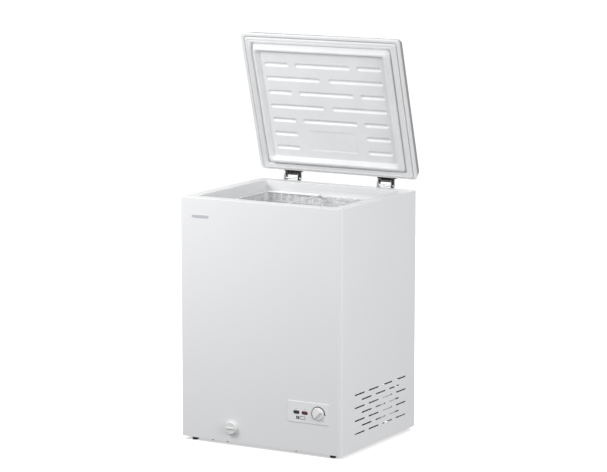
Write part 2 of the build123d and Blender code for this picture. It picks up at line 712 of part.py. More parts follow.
def cable_gland():
    """Bushing for the supply lead in the back panel."""
    neck = GLAND_BORE / 2 + GLAND_WALL
    inner = BACK_FACE - SHEET
    gland = disc_y(GLAND_X, GLAND_Z, neck - PAINT_GAP, inner - 3, BACK_FACE + 3)
    gland += disc_y(GLAND_X, GLAND_Z, neck + GLAND_RIM, BACK_FACE, BACK_FACE + 3)
    gland += disc_y(GLAND_X, GLAND_Z, neck + GLAND_RIM - 0.5, inner - 3, inner)
    return gland - rear_hole(GLAND_X, GLAND_Z, GLAND_BORE / 2)


def mount_places():
    """Plan places of the compressor's four mounts."""
    return [(COMPRESSOR_X + sx * MOUNT_SPAN_X / 2, COMPRESSOR_Y + sy * MOUNT_SPAN_Y / 2)
            for sx in (-1, 1) for sy in (-1, 1)]


def compressor_base():
    """Plate across the compartment that carries the compressor."""
    x0 = BAY_X + SHEET + 1
    x1 = HALF_W - SHEET - 1
    half = MOUNT_SPAN_Y / 2 + 28
    plate = block(x0, x1, COMPRESSOR_Y - half, COMPRESSOR_Y + half, BASE_Z, BASE_Z + PLATE)
    plate += block(x0, x1, COMPRESSOR_Y - half, COMPRESSOR_Y - half + PLATE, BASE_Z, BASE_Z + 16)
    plate += block(x0, x1, COMPRESSOR_Y + half - PLATE, COMPRESSOR_Y + half, BASE_Z, BASE_Z + 16)
    for x, y in mount_places():
        plate -= rod((x, y, 0), (x, y, 60), MOUNT_BOLT / 2 + SLIP)
    return plate


def compressor():
    """Hermetic pot with a welded seam and a foot plate."""
    x, y, low = COMPRESSOR_X, COMPRESSOR_Y, COMPRESSOR_LOW
    pot = rod((x, y, low), (x, y, low + COMPRESSOR_HEIGHT), COMPRESSOR_RADIUS)
    pot = fillet(pot.edges().group_by(Axis.Z)[-1], 34)
    pot = fillet(pot.edges().group_by(Axis.Z)[0], 16)
    seam = low + COMPRESSOR_HEIGHT * 0.46
    pot += rod((x, y, seam), (x, y, seam + 5), COMPRESSOR_RADIUS + 4)
    foot_plate = slab(MOUNT_SPAN_X + 26, MOUNT_SPAN_Y + 26, 12, MOUNT_PLATE_Z, MOUNT_PLATE_Z + 3,
                      x=x, y=y)
    pot += foot_plate + rod((x, y, MOUNT_PLATE_Z), (x, y, low + 8), COMPRESSOR_RADIUS - 22)
    for mx, my in mount_places():
        pot -= rod((mx, my, 0), (mx, my, MOUNT_PLATE_Z + 10), 7)
    return pot


def mount_grommet(x, y):
    """Rubber mount, clipped through the compressor's foot plate."""
    low = BASE_Z + PLATE
    body = rod((x, y, low), (x, y, MOUNT_PLATE_Z), 11)
    body += rod((x, y, MOUNT_PLATE_Z), (x, y, MOUNT_PLATE_Z + 3), 7)
    body += rod((x, y, MOUNT_PLATE_Z + 3), (x, y, MOUNT_PLATE_Z + 6), 9)
    return body - rod((x, y, 0), (x, y, 60), MOUNT_BOLT / 2 + SLIP)


def mount_bolt(x, y):
    """Bolt and washer-faced nut that hold a mount."""
    top = MOUNT_PLATE_Z + 6
    bolt = rod((x, y, BASE_Z - 4), (x, y, top + 8), MOUNT_BOLT / 2)
    bolt += Pos(x, y, BASE_Z - 4) * extrude(RegularPolygon(5.5, 6), 4)
    return bolt + Pos(x, y, top) * extrude(RegularPolygon(6.5, 6), 5)


def relay_cover():
    """Light cover over the starting relay, on the compressor's right side."""
    cover = block(RELAY_X, RELAY_X + RELAY_DEPTH, RELAY_Y0, RELAY_Y1, RELAY_Z0, RELAY_Z1)
    cover = fillet(cover.edges().group_by(Axis.X)[-1], 4)
    cover -= block(RELAY_X - 1, RELAY_X + RELAY_DEPTH - 2, RELAY_Y0 + 2, RELAY_Y1 - 2,
                   RELAY_Z0 + 2, RELAY_Z1 - 2)
    return cover


def start_relay():
    """Relay block inside its cover."""
    return block(RELAY_X + 0.5, RELAY_X + 19, RELAY_Y0 + 24, RELAY_Y1 - 24,
                 RELAY_Z0 + 16, RELAY_Z1 - 16)


def filter_drier():
    """Copper drier standing in the compartment, with necked ends."""
    body = rod((DRIER_X, DRIER_Y, DRIER_LOW), (DRIER_X, DRIER_Y, DRIER_LOW + DRIER_LENGTH),
               DRIER_RADIUS)
    body = chamfer(body.edges().group_by(Axis.Z)[-1] + body.edges().group_by(Axis.Z)[0], 6)
    return body


def suction_tube():
    """Return tube from the insulated wall down to the compressor."""
    outer = TUBE + 1
    x = COMPRESSOR_X - SUCTION_SIDE
    reach = math.sqrt(COMPRESSOR_RADIUS ** 2 - (SUCTION_SIDE - outer) ** 2) + TUBE_END_GAP
    points = [(x, SUCTION_Y, BAY_TOP - SHEET), (x, SUCTION_Y, SUCTION_HIGH),
              (x, COMPRESSOR_Y - reach - 30, SUCTION_LOW),
              (x, COMPRESSOR_Y - reach, SUCTION_LOW)]
    return tube_path(points, [20, 14], outer)


def discharge_tube():
    """Delivery tube from the compressor to the drier."""
    x = COMPRESSOR_X + DISCHARGE_SIDE
    reach = math.sqrt(COMPRESSOR_RADIUS ** 2 - (DISCHARGE_SIDE - TUBE) ** 2) + TUBE_END_GAP
    first, second, third = DISCHARGE_TURNS
    high, low = DISCHARGE_DIPS
    points = [(x, COMPRESSOR_Y - reach, DISCHARGE_Z), (x, first, DISCHARGE_Z),
              (x, second, high), (DRIER_X, third, low), (DRIER_X, DRIER_Y, low),
              (DRIER_X, DRIER_Y, DRIER_LOW)]
    return tube_path(points, [12, 12, 12, 12], TUBE)


# ---------------------------------------------------------------- controls
def control_fascia():
    """Front plate of the controls, plugged into the shell's cut-out."""
    front = -HALF_D - PANEL_PROUD
    plate = Plane.XZ.offset(HALF_D) * extrude(RectangleRounded(PANEL_WIDTH, PANEL_HEIGHT, 3),
                                              PANEL_PROUD)
    plate = Pos(PANEL_X, 0, PANEL_Z) * plate
    plate = fillet(plate.edges().group_by(Axis.Y)[0], 0.8)
    plug_w = PANEL_WIDTH / 2 - PLUG_INSET - PAINT_GAP
    plug_h = PANEL_HEIGHT / 2 - PLUG_INSET - PAINT_GAP
    plug = block(PANEL_X - plug_w, PANEL_X + plug_w, -HALF_D, 4 - HALF_D,
                 PANEL_Z - plug_h, PANEL_Z + plug_h)
    plug -= block(PANEL_X - plug_w + 1.5, PANEL_X + plug_w - 1.5, 0.8 - HALF_D, 5 - HALF_D,
                  PANEL_Z - plug_h + 1.5, PANEL_Z + plug_h - 1.5)
    plate += plug
    for x in LAMP_X:
        plate -= lamp_slot(x, SLIP / 2, front - 1, 1 - HALF_D)
    return plate - disc_y(KNOB_X, KNOB_Z, BUSH / 2 + SLIP, front - 1, 10 - HALF_D)


def lamp_slot(x, grow, y0, y1):
    """The rounded outline of one lamp, extruded along Y."""
    sketch = Plane.XZ * SlotOverall(LAMP_WIDTH + 2 * grow, LAMP_HEIGHT + 2 * grow)
    return Pos(x, y0, LAMP_Z) * extrude(sketch, y1 - y0, dir=(0, 1, 0))


def lamp_lens(x):
    """One indicator lens with a flange behind the plate."""
    front = -HALF_D - PANEL_PROUD
    lens = lamp_slot(x, -SLIP / 2, front - 0.8, 0.8 - HALF_D)
    lens = fillet(lens.edges().group_by(Axis.Y)[0], 0.6)
    return lens + lamp_slot(x, 1.2, 0.8 - HALF_D, 3 - HALF_D)


def control_box():
    """Housing behind the plate that keeps the thermostat and lamps dry."""
    half_w = PANEL_WIDTH / 2
    half_h = PANEL_HEIGHT / 2
    y0 = SHEET - HALF_D
    y1 = y0 + BOX_DEPTH
    box = block(PANEL_X - half_w, PANEL_X + half_w, y0, y1, PANEL_Z - half_h, PANEL_Z + half_h)
    box -= block(PANEL_X - half_w + 2, PANEL_X + half_w - 2, y0 - 1, y1 - 2,
                 PANEL_Z - half_h + 2, PANEL_Z + half_h - 2)
    return box - disc_y(KNOB_X, KNOB_Z + CAPILLARY_RISE, 1.5 * CAPILLARY, y1 - 5, y1 + 5)


def thermostat():
    """Thermostat body with the bush that guides the dial's stem."""
    y0 = THERMO_FRONT - HALF_D
    body = block(KNOB_X - 17, KNOB_X + 17, y0, y0 + THERMO_DEPTH, KNOB_Z - 20, KNOB_Z + 24)
    body += disc_y(KNOB_X, KNOB_Z, BUSH / 2, 1 - HALF_D, y0 + 1)
    return body - disc_y(KNOB_X, KNOB_Z, KNOB_STEM / 2 + RUNNING, -HALF_D - 5, y0 + 8)


def sensor_bulb():
    """Capillary and bulb of the thermostat, in the foam beside the liner."""
    start_y = THERMO_FRONT - HALF_D + THERMO_DEPTH
    z = KNOB_Z + CAPILLARY_RISE
    tube = tube_path([(KNOB_X, start_y, z), (KNOB_X, CAPILLARY_Y, z),
                      (KNOB_X, CAPILLARY_Y, BULB_LOW + 2)], 5, CAPILLARY / 2)
    low = (KNOB_X, CAPILLARY_Y, BULB_LOW)
    return tube + rod(low, (KNOB_X, CAPILLARY_Y, BULB_LOW + BULB_LENGTH), BULB / 2)


def thermostat_dial():
    """Turning dial with a grip bar and a stem."""
    front = -HALF_D - PANEL_PROUD
    back = front - PAINT_GAP
    disc = disc_y(KNOB_X, KNOB_Z, KNOB_RADIUS, back - 4, back)
    disc = fillet(disc.edges().group_by(Axis.Y)[0], 1.2)
    bar = Plane.XZ * SlotOverall(2 * KNOB_RADIUS - 3, 8, rotation=KNOB_REST_ANGLE)
    bar = Pos(KNOB_X, back - 3, KNOB_Z) * extrude(bar, KNOB_GRIP + 1, dir=(0, -1, 0))
    bar = fillet(bar.edges().group_by(Axis.Y)[0], 1.5)
    stem = disc_y(KNOB_X, KNOB_Z, KNOB_STEM / 2, back - 1, THERMO_FRONT - HALF_D + 6)
    return disc + bar + stem


def badge():
    """Plain badge bar on the front."""
    bar = Plane.XZ * SlotOverall(BADGE_LENGTH, BADGE_HEIGHT)
    bar = Pos(BADGE_X, -HALF_D, BADGE_Z) * extrude(bar, 1.2, dir=(0, -1, 0))
    return fillet(bar.edges().group_by(Axis.Y)[0], 0.4)


# ---------------------------------------------------------------- drain
def drain_elbow():
    """Tube from the liner's floor to the front of the cabinet."""
    tube = drain_path(DRAIN_BORE / 2 + DRAIN_TUBE_WALL)
    return tube - drain_path(DRAIN_BORE / 2)


def drain_collar():
    """Ring on the front round the drain's outlet."""
    ring = disc_y(DRAIN_X, DRAIN_Z, DRAIN_CAP_RADIUS + 1, -HALF_D - COLLAR, -HALF_D)
    ring = fillet(ring.edges().group_by(Axis.Y)[0], 1)
    neck = DRAIN_BORE / 2 + DRAIN_COLLAR_NECK - PAINT_GAP
    ring += disc_y(DRAIN_X, DRAIN_Z, neck, -HALF_D, SHEET - HALF_D)
    return ring - disc_y(DRAIN_X, DRAIN_Z, DRAIN_BORE / 2, -HALF_D - 5, 5 - HALF_D)


def drain_spout():
    """Inner tube that pulls forwards to drain melt water."""
    front = -HALF_D - COLLAR - CAP_GAP - CAP_DEPTH + 3
    outer = DRAIN_BORE / 2 - SLIP
    spout = disc_y(DRAIN_X, DRAIN_Z, outer, front, SPOUT_END_Y)
    spout -= disc_y(DRAIN_X, DRAIN_Z, outer - SPOUT_WALL, front - 1, SPOUT_END_Y + 1)
    return spout - block(DRAIN_X - 3, DRAIN_X + 3, front + 1, front + 5, DRAIN_Z - 12, DRAIN_Z)


def drain_cap():
    """Twist cap on the spout's end, with a grip bar."""
    back = -HALF_D - COLLAR - CAP_GAP
    front = back - CAP_DEPTH
    cap = disc_y(DRAIN_X, DRAIN_Z, DRAIN_CAP_RADIUS, front, back)
    cap = fillet(cap.edges().group_by(Axis.Y)[0], 3)
    cap -= disc_y(DRAIN_X, DRAIN_Z, DRAIN_BORE / 2 - SLIP + RUNNING, front + 2.5, back + 1)
    bar = Plane.XZ * SlotOverall(30, 6, rotation=0)
    bar = Pos(DRAIN_X, front, DRAIN_Z) * extrude(bar, CAP_GRIP, dir=(0, -1, 0))
    bar = fillet(bar.edges().group_by(Axis.Y)[0], 1.2)
    return cap + bar


def drain_plug():
    """Stopper in the liner's floor, with a finger tab."""
    z = LINER_FLOOR + PAINT_GAP
    x, y = DRAIN_X, DRAIN_INLET_Y
    plug = rod((x, y, z - 12), (x, y, z + 1), DRAIN_BORE / 2 - SLIP)
    plug += rod((x, y, z), (x, y, z + 3), 17)
    return plug + block(x - 10, x + 10, y - 1.5, y + 1.5, z + 2, z + 16)


# ---------------------------------------------------------------- hinges
def hinge_screw_places():
    """Screws of both hinge bases in the back panel."""
    places = []
    for x in (-HINGE_X, HINGE_X):
        for dx in (-22, 10):
            for z in (HINGE_PLATE_LOW + 10, HINGE_PLATE_HIGH - 12):
                places.append((x + dx, z))
    return places


def hinge_base(x):
    """Fixed half: a plate on the back with two ears for the pin and the spring rod."""
    y0 = BACK_FACE
    y1 = y0 + EAR
    left = x + HINGE_LEFT
    right = x + HINGE_RIGHT
    base = block(left, right, y0, y1, HINGE_PLATE_LOW, HINGE_PLATE_HIGH)
    ear_points = [(y1, HINGE_PLATE_LOW + 8), (y1 + 12, HINGE_PLATE_LOW + 20),
                  (SPRING_Y + 10, PIN_Z + 2), (SPRING_Y + 10, SPRING_Z + 7),
                  (PIN_Y + 3, SPRING_Z + 7), (y1, PIN_Z + 8)]
    profile = Plane.YZ * make_face(Polyline(*ear_points, close=True))
    for edge in (left, right - EAR):
        base += Pos(edge, 0, 0) * extrude(profile, EAR, dir=(1, 0, 0))
    base -= disc_x(PIN_Y, PIN_Z, PIN_DIAMETER / 2 + RUNNING, left - 5, right + 5)
    base -= disc_x(SPRING_Y, SPRING_Z, SPRING_ROD / 2 + RUNNING, left - 5, right + 5)
    for sx, sz in hinge_screw_places():
        if abs(sx - x) < 50:
            base -= rear_hole(sx, sz, SCREW / 2 + SLIP)
    return base


def hinge_stiffener(x):
    """Tapping plate inside the back panel, behind a hinge base."""
    y1 = BACK_FACE - SHEET
    plate = block(x + HINGE_LEFT, x + HINGE_RIGHT, y1 - 2, y1, HINGE_PLATE_LOW,
                  FRAME_BOTTOM - FRAME_LIP_DROP - 1)
    for sx, sz in hinge_screw_places():
        if abs(sx - x) < 50:
            plate -= rear_hole(sx, sz, SCREW / 2)
    return plate


def hinge_pin(x):
    """Pin with a head at one end and a clipped washer at the other."""
    left = x + HINGE_LEFT
    right = x + HINGE_RIGHT + ARM + 2.5
    pin = disc_x(PIN_Y, PIN_Z, PIN_DIAMETER / 2, left - 2, right + 2)
    pin += disc_x(PIN_Y, PIN_Z, PIN_DIAMETER / 2 + 2, left - 2, left)
    return pin + disc_x(PIN_Y, PIN_Z, PIN_DIAMETER / 2 + 2, right, right + 2)


def spring_rod(x):
    """Rod that carries the counterbalance spring between the ears."""
    left = x + HINGE_LEFT
    right = x + HINGE_RIGHT
    bar = disc_x(SPRING_Y, SPRING_Z, SPRING_ROD / 2, left - 1.5, right + 1)
    return bar + disc_x(SPRING_Y, SPRING_Z, SPRING_ROD / 2 + 1.5, left - 1.5, left)


def hinge_spring(x):
    """Counterbalance spring: its coils as rings side by side on the rod."""
    left = x + HINGE_LEFT + EAR + 1
    right = x + HINGE_RIGHT - EAR - 1
    count = int((right - left) // SPRING_PITCH)
    pitch = (right - left) / count
    bore = SPRING_ROD / 2 + SLIP
    points = [(left, bore)]
    for i in range(count):
        a = left + i * pitch
        points += [(a, SPRING_RADIUS - 2), (a + pitch * 0.3, SPRING_RADIUS),
                   (a + pitch * 0.7, SPRING_RADIUS), (a + pitch, SPRING_RADIUS - 2)]
    points += [(right, bore)]
    clean = [points[0]]
    for point in points[1:]:
        if math.dist(point, clean[-1]) > 0.01:
            clean.append(point)
    profile = make_face(Polyline(*clean, close=True))
    coil = revolve(profile, Axis.X)
    return Pos(0, SPRING_Y, SPRING_Z) * coil


def leaf_screw_places(x):
    """Screws of one hinge leaf in the lid's rear edge, closed position."""
    return [(x + dx, PIN_Z + dz) for dx in (-20, 14) for dz in (24.5, 34)]


def hinge_leaf(x):
    """Moving half, closed position: a plate on the lid's rear edge with an arm to the pin."""
    face = LID_REAR_Y
    low = PIN_Z - 0.5
    plate = block(x + LEAF_WIDTH_LEFT, x + LEAF_WIDTH_RIGHT, face, face + LEAF,
                  low, low + LEAF_HEIGHT)
    reach = PIN_Y - face
    arm_points = [(PIN_Y, PIN_Z - 3), (face + 0.5, PIN_Z - 3), (face + 0.5, PIN_Z + 34),
                  (face + LEAF + 1, PIN_Z + 34), (PIN_Y - reach * 0.62, PIN_Z + 12),
                  (PIN_Y - 4, PIN_Z + 9), (PIN_Y + 2, PIN_Z + 5)]
    start = x + HINGE_RIGHT + ARM_GAP
    profile = Plane.YZ * make_face(Polyline(*arm_points, close=True))
    arm = Pos(start, 0, 0) * extrude(profile, ARM, dir=(1, 0, 0))
    arm += disc_x(PIN_Y, PIN_Z, PIN_DIAMETER / 2 + 3.5, start, start + ARM)
    leaf = plate + arm
    leaf -= disc_x(PIN_Y, PIN_Z, PIN_DIAMETER / 2 + RUNNING, start - 5, start + 10)
    for sx, sz in leaf_screw_places(x):
        leaf -= disc_y(sx, sz, SCREW / 2 + SLIP, face - 5, face + 5)
    return leaf


def leaf_screw(x, z):
    """A screw through a leaf into the lid, closed position."""
    face = LID_REAR_Y + LEAF
    head = disc_y(x, z, SCREW_HEAD, face, face + 2.0)
    return head + disc_y(x, z, SCREW / 2, face - 12, face + 1)


def lid_stiffener(x):
    """Tapping plate inside the lid's rear edge, closed position."""
    y1 = LID_REAR_Y - TRIM_WALL
    plate = block(x + LEAF_WIDTH_LEFT, x + LEAF_WIDTH_RIGHT, y1 - 2, y1,
                  LID_SPLIT_Z + 2.5, LID_TOP - 6)
    for sx, sz in leaf_screw_places(x):
        plate -= disc_y(sx, sz, SCREW / 2, y1 - 5, y1 + 5)
    return plate


# ---------------------------------------------------------------- lid, closed position
def grown(margins, amount):
    """Margins moved inwards by an amount."""
    return tuple(m + amount for m in margins)


def lid_edge_trim():
    """Grey moulding round the lid's edge that grips the top panel."""
    ring = lid_taper(0, LID_SPLIT_Z, LID_TOP)
    ring = fillet(ring.edges().group_by(Axis.Z)[-1], LID_TOP_ROUND)
    ring -= lid_taper(TRIM_LIP, LID_SPLIT_Z - 1, LID_TOP + 1)
    ring -= lid_taper(TRIM_WALL, LID_SPLIT_Z + 2, LID_TOP - 2.2)
    for x in (-HINGE_X, HINGE_X):
        for sx, sz in leaf_screw_places(x):
            ring -= disc_y(sx, sz, SCREW / 2 + SLIP, LID_REAR_Y - 6, LID_REAR_Y + 2)
    return ring


def lid_top_panel():
    """Painted steel panel on top of the lid, held under the trim's lip."""
    inset = TRIM_WALL + PAINT_GAP
    return lid_taper(inset, LID_TOP - 2.2 - SHEET, LID_TOP - 2.2)


def pan_solid(grow):
    """The recess in the lid's inner face, grown outwards into the foam."""
    edge = tuple(m - grow for m in PAN_EDGE) + (10.0 + grow,)
    floor = tuple(m - grow for m in PAN_FLOOR) + (8.0 + grow,)
    pan = lid_frustum(edge, floor, RIDGE_Z - 0.01, PAN_Z + grow)
    for x, y, length in groove_places():
        pan += Pos(x, y, PAN_Z - 1) * extrude(
            SlotOverall(length + 2 * grow, GROOVE_WIDTH + 2 * grow), GROOVE_DEPTH + 1 + grow)
    width = GROOVE_WIDE - LABEL_PANEL_SHRINK
    y = LID_REAR_Y - PAN_FLOOR[2] - GROOVE_ENDS[1] - 0.6 * GROOVE_PITCH
    pan += slab(width + 2 * grow, LABEL_PANEL_HEIGHT + 2 * grow, 3 + grow, PAN_Z - 1,
                PAN_Z + 1.2 + grow, y=y)
    return pan


def groove_places():
    """Stiffening grooves of the pan: x, y and length, closed position."""
    side = GROOVE_OUTER - GROOVE_SHORT / 2
    half = GROOVE_OUTER - GROOVE_MIDDLE
    half_x = (GROOVE_OUTER + GROOVE_MIDDLE) / 2
    places = []
    for row in range(GROOVE_ROWS):
        y = LID_FRONT_Y + PAN_FLOOR[1] + GROOVE_ENDS[0] + row * GROOVE_PITCH
        if row in (1, 3):
            places += [(-half_x, y, half), (half_x, y, half)]
        else:
            places += [(-side, y, GROOVE_SHORT), (side, y, GROOVE_SHORT)]
        if row in (0, 2, 4):
            places.append((0.0, y, GROOVE_WIDE))
    return places


def plug_solid(grow):
    """The raised block of the lid's inner face, shrunk inwards by the liner's thickness."""
    start = grown(SLOPE_START, grow) + (16.0,)
    mid = grown(SLOPE_MID, grow) + (14.0,)
    end = grown(SLOPE_END, grow * 0.8) + (10.0,)
    upper = lid_frustum(mid, start, SEAL_Z, LID_FLANGE_Z + grow)
    return upper + lid_frustum(end, mid, RIDGE_Z + grow, SEAL_Z)


def lid_inner_liner():
    """White formed inner face: rim band, seal seat, raised ridge and recessed pan."""
    inset = RIM_BAND_INSET
    flange = lid_taper(inset, LID_FLANGE_Z, LID_FLANGE_Z + LID_LINER)
    edge = lid_taper(inset, SEAL_Z + RIM_BAND_RISE, LID_SPLIT_Z)
    edge = fillet(edge.edges().group_by(Axis.Z)[0], 2.5)
    rear_seat = SEAT_MARGIN[2] - inset
    edge -= lid_slab(RIM_BAND, RIM_BAND, rear_seat, SEAL_CORNER, 0, LID_FLANGE_Z)
    edge -= lid_taper(inset + 2, LID_FLANGE_Z + LID_LINER, LID_TOP)
    liner = flange + edge + plug_solid(0)
    liner -= rim_pocket()
    liner -= pan_solid(0)
    liner -= plug_solid(LID_LINER) - pan_solid(LID_LINER)
    return liner


def rim_pocket():
    """The foam-filled hollow inside the rim band along the lid's sides and front."""
    low = SEAL_Z + RIM_BAND_RISE + LID_LINER
    high = LID_FLANGE_Z + LID_LINER
    inner = RIM_BAND - LID_LINER
    return lid_taper(RIM_BAND_INSET + 2, low, high) - lid_slab(inner, inner, 0, SEAL_CORNER,
                                                              low - 1, high + 1)


def lid_foam():
    """Foam core of the lid."""
    low = LID_FLANGE_Z + LID_LINER
    inset = TRIM_WALL + PAINT_GAP + 0.2
    core = lid_taper(inset, low, LID_TOP - 2.2 - SHEET)
    core -= (lid_slab(0, 0, 0, LID_CORNER, LID_SPLIT_Z - 0.3, LID_SPLIT_Z + 2.3)
             - lid_taper(TRIM_LIP + 0.3, LID_SPLIT_Z - 1, LID_SPLIT_Z + 3))
    core += plug_solid(LID_LINER) - pan_solid(LID_LINER)
    core += rim_pocket()
    for x in (-HINGE_X, HINGE_X):
        core -= block(x + LEAF_WIDTH_LEFT - 1, x + LEAF_WIDTH_RIGHT + 1, LID_REAR_Y - 16,
                      LID_REAR_Y, LID_SPLIT_Z - 2, LID_TOP - 5)
    return core


def lid_gasket():
    """Hollow magnetic seal seated in the liner's flange."""
    side, front, rear = SEAT_MARGIN
    ring = lid_slab(side, front, rear, SEAL_CORNER, SEAL_Z, LID_FLANGE_Z)
    ring = fillet(ring.edges().group_by(Axis.Z)[0], 2)
    ring -= lid_slab(*grown(SLOPE_START, -GASKET_GAP), 6, SEAL_Z - 1, LID_FLANGE_Z + 1)
    for offset in GASKET_CHANNELS:
        channel = lid_slab(side + offset, front + offset, rear + offset, SEAL_CORNER,
                           SEAL_Z - 1, SEAL_Z + 1.6)
        channel -= lid_slab(side + offset + 1.4, front + offset + 1.4, rear + offset + 1.4,
                            SEAL_CORNER - 1.4, SEAL_Z - 2, SEAL_Z + 3)
        ring -= channel
    return ring


# ---------------------------------------------------------------- basket
def basket_wall_y():
    """Y of the basket's front and rear walls."""
    return INNER_D / 2 - BASKET_INSET_Y


def grid(span_u, span_v, origin, u, v, thick):
    """A flat grid of square wires between a corner and its two spans."""
    count_u = max(2, round(span_u / BASKET_MESH))
    count_v = max(2, round(span_v / BASKET_MESH))
    normal = u.cross(v)
    plane = Plane(origin=origin, x_dir=u, z_dir=normal)
    wires = None
    for i in range(count_u + 1):
        a = i * span_u / count_u
        bar = Pos(a, span_v / 2, 0) * Box(BASKET_WIRE, span_v + BASKET_WIRE, thick)
        wires = bar if wires is None else wires + bar
    for j in range(count_v + 1):
        b = j * span_v / count_v
        wires += Pos(span_u / 2, b, 0) * Box(span_u + BASKET_WIRE, BASKET_WIRE, thick)
    return plane * wires


def basket_panels():
    """The basket's five flat grids, by name."""
    wall = basket_wall_y()
    low = BASKET_TOP_Z - BASKET_HEIGHT
    wire = BASKET_WIRE
    x0 = BASKET_LEFT + BASKET_ROD / 2
    x1 = BASKET_RIGHT - BASKET_ROD / 2
    high = BASKET_TOP_Z - BASKET_ROD / 2 - wire / 2
    depth = 2 * wall
    width = x1 - x0
    height = high - low
    ux, uy, uz = Vector(1, 0, 0), Vector(0, 1, 0), Vector(0, 0, 1)
    return {
        "basket_front_grid": grid(width, height, (x0, -wall, low), ux, uz, wire),
        "basket_rear_grid": grid(width, height, (x0, wall, low), ux, uz, wire),
        "basket_left_grid": grid(depth - 2 * wire, height, (x0, wire - wall, low), uy, uz, wire),
        "basket_right_grid": grid(depth - 2 * wire, height, (x1, wire - wall, low), uy, uz, wire),
        "basket_bottom_grid": grid(width, depth, (x0, -wall, low - wire), ux, uy, wire),
    }


def wire_loop(x, z, width, depth, corner, radius):
    """A closed loop of round wire lying level, with rounded corners."""
    half_w = width / 2
    half_d = depth / 2
    run_w = half_w - corner
    run_d = half_d - corner
    loop = rod((x - run_w, -half_d, z), (x + run_w, -half_d, z), radius)
    loop += rod((x - run_w, half_d, z), (x + run_w, half_d, z), radius)
    loop += rod((x - half_w, -run_d, z), (x - half_w, run_d, z), radius)
    loop += rod((x + half_w, -run_d, z), (x + half_w, run_d, z), radius)
    section = Plane.XZ * Pos(corner, 0) * Circle(radius)
    bend = revolve(section, Axis.Z, 90)
    for turn, side, end in ((0, 1, 1), (90, -1, 1), (180, -1, -1), (270, 1, -1)):
        loop += Pos(x + side * run_w, end * run_d, z) * Rot(0, 0, turn) * bend
    return loop


def basket_frame():
    """Round-wire top loop of the basket, with cross wires, resting on the ledge."""
    wall = basket_wall_y()
    radius = BASKET_ROD / 2
    thinner = 0.4
    rail = OPEN_HALF_D - radius - BASKET_END_GAP
    x0 = BASKET_LEFT + radius
    x1 = BASKET_RIGHT - radius
    z = BASKET_TOP_Z
    frame = wire_loop((x0 + x1) / 2, z, x1 - x0, 2 * rail, 10, radius)
    for y in (-wall, wall):
        frame += rod((x0, y, z - thinner), (x1, y, z - thinner), radius - thinner)
    for share in (0.25, 0.5, 0.75):
        x = x0 + (x1 - x0) * share
        for sign in (-1, 1):
            frame += rod((x, sign * wall, z - thinner), (x, sign * rail, z - thinner),
                         radius - 2 * thinner)
    return frame


# ---------------------------------------------------------------- build
def main():
    os.makedirs("parts", exist_ok=True)
    save("outer_shell", outer_shell())
    save("back_panel", back_panel())
    save("bottom_panel", bottom_panel())
    save("bay_wall", bay_wall())
    save("inner_liner", inner_liner())
    save("breaker_strip", breaker_strip())
    save("top_frame", top_frame())
    save("evaporator_coil", evaporator_solid(0))
    save("condenser_coil", condenser_solid(0))
    save("insulation_foam", insulation_foam())
    save("feet", Compound([foot(x, y) for x, y in foot_centres()]))
    save("foot_screws", Compound([foot_screw(x, y) for x, y in foot_centres()]))
    save("skirt_plugs", Compound([skirt_plug(x, y) for x, y in plug_centres()]))

    save("rear_grille", rear_grille())
    save("panel_screws", Compound(
        [panel_screw(x, z, BACK_FACE + GRILLE, 8) for x, z in grille_screw_places()]
        + [panel_screw(x, z, BACK_FACE + EAR, 8) for x, z in hinge_screw_places()]))
    save("cable_gland", cable_gland())
    save("compressor_base", compressor_base())
    save("compressor", compressor())
    save("compressor_grommets", Compound([mount_grommet(x, y) for x, y in mount_places()]))
    save("compressor_bolts", Compound([mount_bolt(x, y) for x, y in mount_places()]))
    save("relay_cover", relay_cover())
    save("start_relay", start_relay())
    save("filter_drier", filter_drier())
    save("suction_tube", suction_tube())
    save("discharge_tube", discharge_tube())

    save("control_fascia", control_fascia())
    save("power_lamp_lens", lamp_lens(LAMP_X[0]))
    save("run_lamp_lens", lamp_lens(LAMP_X[1]))
    save("control_box", control_box())
    save("thermostat", thermostat())
    save("sensor_bulb", sensor_bulb())
    save("thermostat_dial", thermostat_dial())
    save("badge", badge())

    save("drain_elbow", drain_elbow())
    save("drain_collar", drain_collar())
    save("drain_spout", drain_spout())
    save("drain_cap", drain_cap())
    save("drain_plug", drain_plug())

    for side, x in (("left", -HINGE_X), ("right", HINGE_X)):
        save(f"{side}_hinge_base", hinge_base(x))
        save(f"{side}_hinge_leaf", opened(hinge_leaf(x)))
    both = (-HINGE_X, HINGE_X)
    save("hinge_pins", Compound([hinge_pin(x) for x in both]))
    save("spring_rods", Compound([spring_rod(x) for x in both]))
    save("hinge_springs", Compound([hinge_spring(x) for x in both]))
    save("hinge_stiffeners", Compound([hinge_stiffener(x) for x in both]))
    leaf_screws = [leaf_screw(sx, sz) for x in both for sx, sz in leaf_screw_places(x)]
    save("hinge_leaf_screws", opened(Compound(leaf_screws)))
    save("lid_stiffeners", opened(Compound([lid_stiffener(x) for x in both])))

    save("lid_edge_trim", opened(lid_edge_trim()))
    save("lid_top_panel", opened(lid_top_panel()))
    save("lid_inner_liner", opened(lid_inner_liner()))
    save("lid_foam", opened(lid_foam()))
    save("lid_gasket", opened(lid_gasket()))

    save("basket_frame", basket_frame())
    for name, panel in basket_panels().items():
        save(name, panel)


main()
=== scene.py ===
"""Looks of the chest freezer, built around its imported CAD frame. Lengths are in millimetres until a
mesh is made; the frame's own boxes and joints are in metres."""
import json
import math

import bpy
from mathutils import Matrix, Vector


